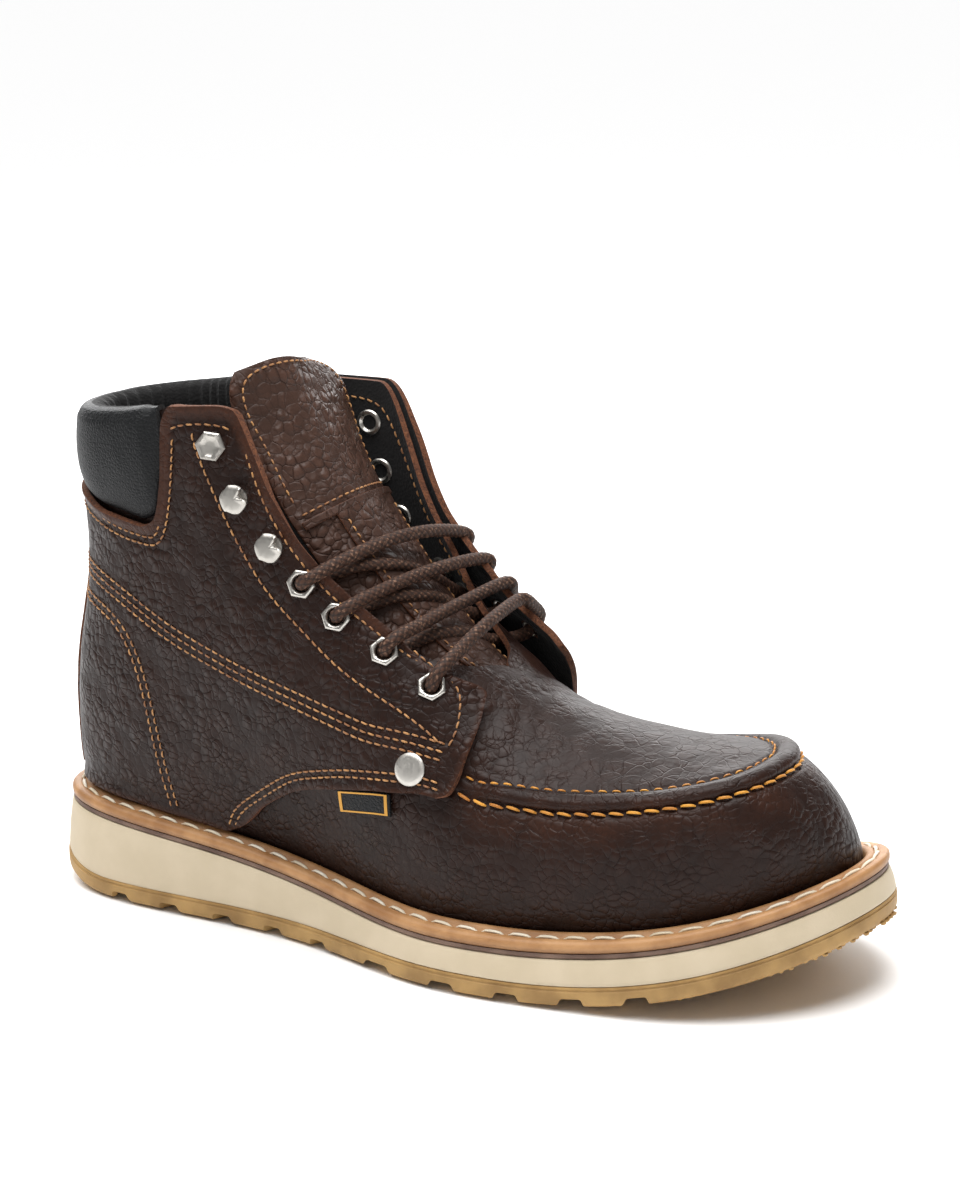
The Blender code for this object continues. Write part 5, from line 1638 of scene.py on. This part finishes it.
backstay_thread = thread_piece("backstay_thread", [
    stitch_points(*seam, long=2.8, pitch=3.7, thick=0.8, proud=0.25) for seam in seams])
backstay_thread.data.materials.append(leather_thread)
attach(backstay_thread, "root")

# Side tag: a small folded tag of black leather under the lower edge of the outer quarter.
# A thin gilt line frames its bare face.
TAG_S = (0.459, 0.510)
TAG_TUCK = 0.008
TAG_DROP = 0.068
TAG_WALL = 1.0


def tag_face(a, b, lift):
    """Place on the tag, where a runs forward and b upward."""
    s = TAG_S[0] + (TAG_S[1] - TAG_S[0]) * a
    t = quarter_edge("low", s) - TAG_TUCK - TAG_DROP * (1 - b)
    return skin(s, t, -1) + skin_normal(s, t, -1) * lift


a, b = np.meshgrid(np.linspace(0, 1, 21), np.linspace(0, 1, 15), indexing="ij")
tag_points = tag_face(a, b, SKIN_GAP + TAG_WALL).reshape(-1, 3)
side_tag = new_piece("side_tag_leather", tag_points, grid_quads(*a.shape))
give_wall(side_tag, TAG_WALL, (collar_leather, collar_leather, collar_leather))
soften_rim(side_tag, 0.25)
smooth_shade(side_tag, 50.0)
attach(side_tag, "root")
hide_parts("side_tag")
FRAME_OUT = 0.05
FRAME_IN = 0.12
FRAME_RISE = 0.25
FRAME_SUNK = 0.1
FRAME_STEPS = 12
FRAME_NARROW = 0.8
corners = []
for inset, lift in ((FRAME_OUT, 0.0), (FRAME_OUT, FRAME_RISE), (FRAME_IN, FRAME_RISE), (FRAME_IN, 0.0)):
    back_a, front_a = inset * FRAME_NARROW, 1 - inset * FRAME_NARROW
    low_b, high_b = inset, 1 - inset
    run = np.linspace(0, 1, FRAME_STEPS + 1)[:-1]
    loop_a = np.concatenate([back_a + (front_a - back_a) * run, np.full(FRAME_STEPS, front_a),
                             front_a - (front_a - back_a) * run, np.full(FRAME_STEPS, back_a)])
    loop_b = np.concatenate([np.full(FRAME_STEPS, low_b), low_b + (high_b - low_b) * run,
                             np.full(FRAME_STEPS, high_b), high_b - (high_b - low_b) * run])
    corners.append(tag_face(loop_a, loop_b, SKIN_GAP + TAG_WALL + lift - FRAME_SUNK))
corners = np.stack(corners, 1)
tag_frame = new_piece("side_tag_frame", corners.reshape(-1, 3), grid_quads(*corners.shape[:2], True, True))
close_seams(tag_frame)
gilt, gilt_shader, _ = new_material("tag_foil_gilt", {"Roughness": 0.35, "Metallic": 1.0})
gilt_shader.inputs["Base Color"].default_value = linear("#b98a45")
tag_frame.data.materials.append(gilt)
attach(tag_frame, "root")

# Eyelets: pressed nickel, six-sided with a bevelled rim, riveted through each flap. A round tube lines
# the hole and a flat washer backs it inside the boot.
EYELET_R = 4.4
EYELET_HOLE = 2.6
METAL_AROUND = 48
WASHER_AROUND = 32
SEAT_STEP_S = 0.008
SEAT_STEP_T = 0.03


def seat_frame(place, side):
    """Seat, normal, sideways and upward directions of a fitting on a flap."""
    s = place[0] + np.array([0.0, -SEAT_STEP_S, SEAT_STEP_S, 0.0, 0.0])
    t = place[1] + np.array([0.0, 0.0, 0.0, -SEAT_STEP_T, SEAT_STEP_T])
    face = flap_face(s, t, side)
    along = face[2] - face[1]
    up = face[4] - face[3]
    normal = unit(np.cross(along, up) * -side)
    up = unit(up)
    return face[0], normal, np.cross(up, normal), up


def turned(rows, seat, normal, right, up, around=METAL_AROUND, twist=0.0):
    """Rings of a turned or six-sided fitting, from rows of radius, height and how six-sided it is."""
    angle = np.arange(around) * 2 * np.pi / around
    sector = (angle + np.pi / 6) % (np.pi / 3) - np.pi / 6
    hexagon = math.cos(math.pi / 6) / np.cos(sector)
    rings = []
    for radius, height, six in rows:
        reach = radius * (1 + six * (hexagon / hexagon.mean() - 1))
        flat = np.cos(angle + twist)[:, None] * right + np.sin(angle + twist)[:, None] * up
        rings.append(seat + normal * height + flat * reach[:, None])
    return np.stack(rings)


def joined(name, pieces, close_rows, degrees=35.0):
    """Ring stacks of one shape joined into one mesh, each a closed loop or capped at both ends."""
    points = np.concatenate([p.reshape(-1, 3) for p in pieces])
    rows, around = pieces[0].shape[:2]
    size = rows * around
    faces_one = grid_quads(rows, around, close_rows, True)
    if not close_rows:
        faces_one += [tuple(range(around)), tuple(range(size - around, size))]
    faces = [tuple(k * size + i for i in face) for k in range(len(pieces)) for face in faces_one]
    made = new_piece(name, points, faces)
    close_seams(made)
    smooth_shade(made, degrees)
    return made


def plated_nickel(name, roughness, tone="#c6c2bb"):
    """Nickel plate over pressed steel: bright, faintly warm, with fine rubbing marks."""
    made, shader, place = new_material(name, {"Metallic": 1.0})
    rub = add_node(made, "ShaderNodeTexNoise", None,
                   {"Vector": place, "Scale": 1 / (0.9 * MM), "Detail": 4.0, "Distortion": 0.6})
    gloss = add_node(made, "ShaderNodeMapRange", None,
                     {"Value": rub.outputs["Fac"], "From Min": 0.3, "From Max": 0.7,
                      "To Min": roughness - 0.06, "To Max": roughness + 0.1})
    bump = add_node(made, "ShaderNodeBump", None,
                    {"Strength": 1.0, "Distance": 0.02 * MM, "Height": rub.outputs["Fac"]})
    shader.inputs["Base Color"].default_value = linear(tone)
    return wire(made, shader, {"Roughness": gloss.outputs["Result"], "Normal": bump.outputs["Normal"]})


# Sections of the fittings: radius, height, how six-sided.
EYELET_ROWS = [
    (EYELET_R, -0.3, 0.9),
    (EYELET_R + 0.1, 0.7, 0.9),
    (EYELET_R - 0.2, 1.1, 0.9),
    (EYELET_R - 0.5, 1.25, 0.8),
    (EYELET_R - 1.0, 1.2, 0.4),
    (EYELET_HOLE + 0.35, 0.95, 0.0),
    (EYELET_HOLE, 0.3, 0.0),
    (EYELET_HOLE, -2.6, 0.0),
    (EYELET_HOLE + 0.5, -2.6, 0.0),
    (EYELET_HOLE + 0.5, -0.3, 0.0),
]
WASHER_ROWS = [
    (3.0, -0.3, 0.0),
    (3.0, 0.55, 0.0),
    (3.4, 0.9, 0.0),
    (4.1, 0.8, 0.0),
    (4.7, 0.3, 0.0),
    (4.7, -0.3, 0.0),
]
HEX_TURN = math.radians(12.0)


def inside_frame(place, side):
    """Seat and directions of a washer on the lining behind a flap, facing into the boot."""
    s = np.array([place[0]])
    t = np.array([place[1]])
    inward = -skin_normal(s, t, side)[0]
    up = unit(np.cross(inward, (1.0, 0.0, 0.0)))
    return wall_back(s, t, side)[0], inward, np.cross(up, inward), up


bright_nickel = plated_nickel("nickel_plate_bright", roughness=0.3)
eyelets = [turned(EYELET_ROWS, *seat_frame(place, side), twist=HEX_TURN)
           for side in (-1, 1) for place in EYELETS[side]]
eyelet_rims = joined("eyelet_rims", eyelets, True)
eyelet_rims.data.materials.append(bright_nickel)
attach(eyelet_rims, "root")
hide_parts(*[f"eyelet_{word}_{k}" for word in ("lateral", "medial") for k in (1, 2, 3, 4)])
washers = [turned(WASHER_ROWS, *inside_frame(place, side), around=WASHER_AROUND)
           for side in (-1, 1) for place in EYELETS[side]]
inner_washers = joined("inner_washers", washers, True)
inner_washers.data.materials.append(bright_nickel)
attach(inner_washers, "root")

# Speed hooks: nickel studs above the eyelets. The top one has a flat six-sided cap with a round recess,
# the two below it have domed caps with a notch towards the throat where the lace slips in.
STEM_ROWS = [
    (3.6, -0.3, 0.0),
    (3.6, 0.9, 0.0),
    (1.9, 1.2, 0.0),
    (1.9, 2.8, 0.0),
]
PLATE_ROWS = STEM_ROWS + [
    (4.4, 2.95, 1.0),
    (4.65, 3.2, 1.0),
    (4.65, 3.9, 1.0),
    (4.2, 4.4, 1.0),
    (3.4, 4.45, 0.9),
    (2.5, 3.9, 0.6),
    (1.3, 3.8, 0.0),
]
DOME_ROWS = STEM_ROWS + [
    (4.5, 2.95, 0.45),
    (4.85, 3.3, 0.45),
    (4.7, 3.8, 0.4),
    (4.1, 4.25, 0.2),
    (3.1, 4.45, 0.0),
    (1.8, 4.55, 0.0),
    (0.6, 4.6, 0.0),
]
# Notches of a domed cap: direction in degrees, half width in radians, depth.
NOTCHES = [(14.0, 0.38, 2.4), (120.0, 0.2, 0.25), (235.0, 0.2, 0.25)]
LIP_RISE = 0.8
LIP_PLACE = 1.35
LIP_SPREAD = 0.2
CAP_HEIGHT = 2.9
FULL_BITE_R = 4.0


def hook_rings(place, side, number):
    """Rings of one hook, the domed ones pinched in towards the throat."""
    seat, normal, right, up = seat_frame(place, side)
    rows = PLATE_ROWS if number == 0 else DOME_ROWS
    rings = turned(rows, seat, normal, right, up, twist=HEX_TURN)
    if number > 0:
        angle = np.arange(METAL_AROUND) * 2 * np.pi / METAL_AROUND + HEX_TURN
        flat = np.cos(angle)[:, None] * right + np.sin(angle)[:, None] * up
        for toward, width, depth in NOTCHES:
            turn = (angle - math.radians(toward) + np.pi) % (2 * np.pi) - np.pi
            bite = depth * np.exp(-(turn / width) ** 4)
            beside_notch = (np.abs(turn) - LIP_PLACE * width) / LIP_SPREAD
            lip = LIP_RISE * depth / NOTCHES[0][2] * np.exp(-beside_notch ** 2)
            for k, (radius, height, _) in enumerate(rows):
                if height >= CAP_HEIGHT:
                    share = min(1.0, radius / FULL_BITE_R)
                    rings[k] += normal * (lip * share ** 3)[:, None] - flat * (bite * share)[:, None]
    return rings


CUP_ROWS = [
    (4.4, -0.3, 0.0),
    (4.4, 0.25, 0.0),
    (4.0, 0.75, 0.0),
    (3.3, 0.9, 0.0),
    (2.8, 0.6, 0.0),
    (2.4, -0.1, 0.0),
    (1.2, -0.25, 0.0),
]
cups = [turned(CUP_ROWS, *inside_frame(place, side), around=WASHER_AROUND)
        for side in (-1, 1) for place in HOOKS[side]]
hook_cups = joined("hook_cups", cups, False)
hook_cups.data.materials.append(bright_nickel)
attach(hook_cups, "root")
hooks = [hook_rings(place, side, k) for side in (-1, 1) for k, place in enumerate(HOOKS[side])]
speed_hooks = joined("speed_hooks", hooks, False)
speed_hooks.data.materials.append(plated_nickel("nickel_plate_satin", roughness=0.36, tone="#bdb9b2"))
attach(speed_hooks, "root")
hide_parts(*[f"hook_{word}_{k}" for word in ("lateral", "medial") for k in (1, 2, 3)])

# Rivets: one round nickel rivet with a low domed head at the foot of each flap. It is pressed through
# the quarter and the vamp and rubbed smooth.
RIVET_PLACE = (0.530, 0.460)
RIVET_ROWS = [
    (5.1, -0.3, 0.0),
    (5.3, 0.15, 0.0),
    (5.3, 0.55, 0.0),
    (4.9, 0.95, 0.0),
    (3.9, 1.2, 0.0),
    (2.6, 1.32, 0.0),
    (1.3, 1.38, 0.0),
]
heads = [turned(RIVET_ROWS, *seat_frame(RIVET_PLACE, side)) for side in (-1, 1)]
rivets = joined("flap_rivets", heads, False)
rivets.data.materials.append(plated_nickel("nickel_plate_rubbed", roughness=0.4, tone="#cdc9c2"))
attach(rivets, "root")
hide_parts("rivet_lateral", "rivet_medial")

# Lace: round braided cord, dark brown with paler flecks. Four runs cross the throat from eyelet to eyelet and
# go down through the holes. Slanting runs on the tongue join each to the next, and the hidden ends stop at
# the top eyelets.
CORD_R = 2.2
EDGE_T = 0.96
FAR_EDGE_S = [0.490, 0.507, 0.525, 0.541]
BOWS = [8.0, 4.5, 1.5, 4.0]
BOW_PARTS = (0.22, 0.45, 0.70)
CROWN_LEAN = (0.5, 0.0, 1.2)
TAIL = 2.2
CORD_CLEAR = 0.5
BROW_RISE = 0.6
BROW_IN = 1.2
LEAVE_UP = 3.2
LEAVE_AHEAD = 3.4
SLANT_PARTS = (0.15, 0.38, 0.62, 0.85)
SLANT_DEPTH = 5.5
SLANT_LIFT = 1.0
CORD_AROUND = 36
CORD_STEP = 0.42
STRANDS = 6
PLAIT_LENGTH = 2.5
STRAND_ROUND = 0.6
CORD_CORE = 0.90
STRAND_PROUD = 0.12


def lace_run(k):
    """Points of one run: up out of the near eyelet, over the throat in a bow, round the far edge, down."""
    seat, normal, _, _ = seat_frame(EYELETS[-1][k], -1)
    far_seat, far_normal, _, _ = seat_frame(EYELETS[1][k], 1)
    rim_s = FAR_EDGE_S[k]
    rim, rim_normal, _, rim_up = seat_frame((rim_s, EDGE_T), 1)
    via_place = ((EYELETS[1][k][0] + rim_s) / 2, (EYELETS[1][k][1] + EDGE_T) / 2)
    via, via_normal, _, _ = seat_frame(via_place, 1)
    clear = CORD_R + CORD_CLEAR
    brow = rim + rim_up * (CORD_R + BROW_RISE) + rim_normal * (clear - BROW_IN)
    ahead = brow - seat
    ahead = unit(ahead - normal * np.dot(ahead, normal))
    back = via - far_seat
    back = unit(back - far_normal * np.dot(back, far_normal))
    leave = seat + normal * LEAVE_UP + ahead * LEAVE_AHEAD
    crown = unit(normal + rim_normal + np.array(CROWN_LEAN))
    bowed = [leave + (brow - leave) * part + crown * BOWS[k] * 4 * part * (1 - part) for part in BOW_PARTS]
    near_end = [seat - normal * TAIL, seat + normal + ahead * 0.5, leave]
    over_edge = [brow, rim + rim_normal * clear + rim_up * BROW_RISE, via + via_normal * clear]
    far_end = [far_seat + far_normal * up + back * along
               for up, along in ((2.8, 2.4), (0.6, 0.3), (-TAIL, 0.0))]
    return near_end + bowed + over_edge + far_end


def tongue_place(point):
    """The (u, v) place on the tongue that is nearest to a point."""
    u, v = np.meshgrid(np.linspace(-1, 1, 81), np.linspace(0, 1, 161), indexing="ij")
    nearest = np.argmin(np.linalg.norm(tongue_surface(u, v) - point, axis=-1))
    return np.array((u.flat[nearest], v.flat[nearest]))


def slant_run(k):
    """Points of the run on the tongue from one near eyelet to the next far eyelet down."""
    seat, normal, _, _ = seat_frame(EYELETS[-1][k], -1)
    far_seat, far_normal, _, _ = seat_frame(EYELETS[1][k + 1], 1)
    start = tongue_place(seat - normal * SLANT_DEPTH)
    end = tongue_place(far_seat - far_normal * SLANT_DEPTH)
    parts = np.array(SLANT_PARTS)
    u, v = (start + (end - start) * parts[:, None]).T
    laid, _ = tongue_face(u, v, np.full(len(parts), SLANT_LIFT))
    return [seat - normal, seat - normal * SLANT_DEPTH, *laid,
            far_seat - far_normal * SLANT_DEPTH, far_seat - far_normal]


def even_route(points, step):
    """A smooth route through points, at even steps."""
    points = np.array(points)
    chord = np.concatenate([[0.0], np.cumsum(np.linalg.norm(np.diff(points, axis=0), axis=1) ** 0.5)])
    fine = np.linspace(0, chord[-1], 600)
    dense = np.stack([natural(chord, points[:, k], fine) for k in range(3)], -1)
    length = np.concatenate([[0.0], np.cumsum(np.linalg.norm(np.diff(dense, axis=0), axis=1))])
    at = np.linspace(0, length[-1], int(length[-1] / step) + 1)
    return np.stack([np.interp(at, length, dense[:, k]) for k in range(3)], -1), at


def cord_rings(points):
    """Rings of a plaited cord along a route, and how high each point stands on its strand."""
    route, at = even_route(points, CORD_STEP)
    ahead = unit(np.gradient(route, axis=0))
    sideways = np.cross(ahead[0], (0.0, 0.0, 1.0))
    frames = []
    for way in ahead:
        sideways = unit(sideways - way * np.dot(sideways, way))
        frames.append((sideways, np.cross(way, sideways)))
    angle = np.arange(CORD_AROUND) * 2 * np.pi / CORD_AROUND
    along = 2 * np.pi * at[:, None] / PLAIT_LENGTH
    strand = np.cos(STRANDS / 2 * angle + along / 2) * np.cos(STRANDS / 2 * angle - along / 2)
    weave = np.abs(strand) ** STRAND_ROUND
    radius = CORD_R * (CORD_CORE + STRAND_PROUD * weave)
    first = np.array([frame[0] for frame in frames])[:, None]
    second = np.array([frame[1] for frame in frames])[:, None]
    ring = first * np.cos(angle)[None, :, None] + second * np.sin(angle)[None, :, None]
    return route[:, None] + ring * radius[..., None], weave


cord_points = []
cord_faces = []
cord_weave = []
count = 0
for points in [lace_run(k) for k in range(len(BOWS))] + [slant_run(k) for k in range(len(BOWS) - 1)]:
    rings, weave = cord_rings(points)
    quads = grid_quads(*rings.shape[:2], close_columns=True)
    size = rings.shape[0] * rings.shape[1]
    quads += [tuple(range(CORD_AROUND)), tuple(range(size - CORD_AROUND, size))]
    cord_faces += [tuple(count + i for i in quad) for quad in quads]
    cord_points.append(rings.reshape(-1, 3))
    cord_weave.append(weave.ravel())
    count += size
lace = new_piece("lace_cord", np.concatenate(cord_points), cord_faces)
set_attribute(lace, "weave", np.concatenate(cord_weave))
close_seams(lace)
smooth_shade(lace, 70.0)


def braided_cord(name, shade, light, fleck):
    """Waxed braided polyester: dark brown strands, shadowed where they dive, with scattered pale flecks."""
    made, shader, place = new_material(name, {"Roughness": 0.68, "IOR": 1.4})
    weave = add_node(made, "ShaderNodeAttribute", {"attribute_name": "weave"})
    tone = add_node(made, "ShaderNodeMapRange", {"interpolation_type": "SMOOTHSTEP"},
                    {"Value": weave.outputs["Fac"]})
    body = add_node(made, "ShaderNodeMixRGB", None,
                    {"Fac": tone.outputs["Result"], "Color1": linear(shade), "Color2": linear(light)})
    spots = add_node(made, "ShaderNodeTexNoise", None,
                     {"Vector": place, "Scale": 1 / (0.9 * MM), "Detail": 1.0})
    pick = add_node(made, "ShaderNodeMapRange", {"interpolation_type": "SMOOTHSTEP"},
                    {"Value": spots.outputs["Fac"], "From Min": 0.56, "From Max": 0.68})
    high = add_node(made, "ShaderNodeMath", {"operation": "MULTIPLY"},
                    {0: pick.outputs["Result"], 1: tone.outputs["Result"]})
    colour = add_node(made, "ShaderNodeMixRGB", None,
                      {"Fac": high.outputs["Value"], "Color1": body.outputs["Color"],
                       "Color2": linear(fleck)})
    fibre = add_node(made, "ShaderNodeTexNoise", None,
                     {"Vector": place, "Scale": 1 / (0.25 * MM), "Detail": 2.0})
    bump = add_node(made, "ShaderNodeBump", None,
                    {"Strength": 1.0, "Distance": 0.1 * MM, "Height": fibre.outputs["Fac"]})
    return wire(made, shader, {"Base Color": colour.outputs["Color"], "Normal": bump.outputs["Normal"]})


lace.data.materials.append(braided_cord("lace_cord_braided", "#1a0f0a", "#4b3022", "#7f604d"))
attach(lace, "root")
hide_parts(*[f"lace_bar_{k}" for k in (1, 2, 3, 4)])

# Studio: a plain pale floor, a soft light overhead, a weak one in front, a large panel behind and an even
# ceiling. The camera stands where the photograph was taken from.
FLOOR = "#fefefe"
FLOOR_SIZE = 60.0
AIR_GLOW = 0.24
bpy.ops.object.select_all(action="DESELECT")
bpy.ops.mesh.primitive_plane_add(size=FLOOR_SIZE, location=(0.0, 0.0, -STUD_HEIGHT * MM))
floor = bpy.context.object
floor.name = "studio_floor"
floor_paint, floor_shader, _ = new_material("studio_paint_matt", {"Roughness": 0.9})
floor_shader.inputs["Base Color"].default_value = linear(FLOOR)
floor.data.materials.append(floor_paint)

studio = bpy.data.worlds.new("studio_air")
studio.use_nodes = True
air = studio.node_tree.nodes["Background"]
air.inputs["Color"].default_value = linear("#ffffff")
air.inputs["Strength"].default_value = AIR_GLOW
bpy.context.scene.world = studio
bpy.context.scene.view_settings.view_transform = "Standard"

# Lights: name, place, aim, width, height, power.
LIGHT_ROWS = [
    ("key_above", (0.15, -0.05, 1.05), (0.0, 0.0, 0.10), 0.7, 0.7, 7.0),
    ("fill_front", (0.7, -1.3, 0.6), (0.02, 0.0, 0.08), 0.8, 0.8, 0.8),
    ("panel_back", (-0.76, 1.41, 0.78), (0.0, 0.0, 0.12), 2.4, 0.9, 34.0),
]
for name, place, aim, width, height, power in LIGHT_ROWS:
    lamp = bpy.data.lights.new(name, "AREA")
    lamp.shape = "RECTANGLE"
    lamp.size = width
    lamp.size_y = height
    lamp.energy = power
    stand = bpy.data.objects.new(name, lamp)
    stand.location = place
    stand.rotation_euler = (Vector(aim) - Vector(place)).to_track_quat("-Z", "Y").to_euler()
    bpy.context.scene.collection.objects.link(stand)

SKY_POWER = 2.55
SKY_SPREAD = 60.0
SKY_TILT = (8.0, -12.0)
sky = bpy.data.lights.new("soft_ceiling", "SUN")
sky.energy = SKY_POWER
sky.angle = math.radians(SKY_SPREAD)
ceiling = bpy.data.objects.new("soft_ceiling", sky)
ceiling.rotation_euler = (math.radians(SKY_TILT[0]), math.radians(SKY_TILT[1]), 0.0)
bpy.context.scene.collection.objects.link(ceiling)

VIEW_AZIMUTH = 28.35
VIEW_ELEVATION = 14.53
VIEW_ROLL = -1.16
VIEW_DISTANCE = 932.35
VIEW_TARGET = (13.28, 0.0, 113.21)
FOCAL_PIXELS = 2885.11
IMAGE_HEIGHT = 1200
turn = math.radians(VIEW_AZIMUTH)
tilt = math.radians(VIEW_ELEVATION)
back = Vector((math.sin(turn) * math.cos(tilt), -math.cos(turn) * math.cos(tilt), math.sin(tilt)))
lens = bpy.data.cameras.new("photo_camera")
lens.sensor_width = 36.0
lens.lens = FOCAL_PIXELS * lens.sensor_width / IMAGE_HEIGHT
lens.clip_start = 0.05
lens.clip_end = 50.0
camera = bpy.data.objects.new("photo_camera", lens)
camera.rotation_mode = "QUATERNION"
camera.location = Vector(in_frame(VIEW_TARGET)) + back * VIEW_DISTANCE * MM
roll = Quaternion((0.0, 0.0, 1.0), math.radians(VIEW_ROLL))
camera.rotation_quaternion = (-back).to_track_quat("-Z", "Y") @ roll
bpy.context.scene.collection.objects.link(camera)
bpy.context.scene.camera = camera
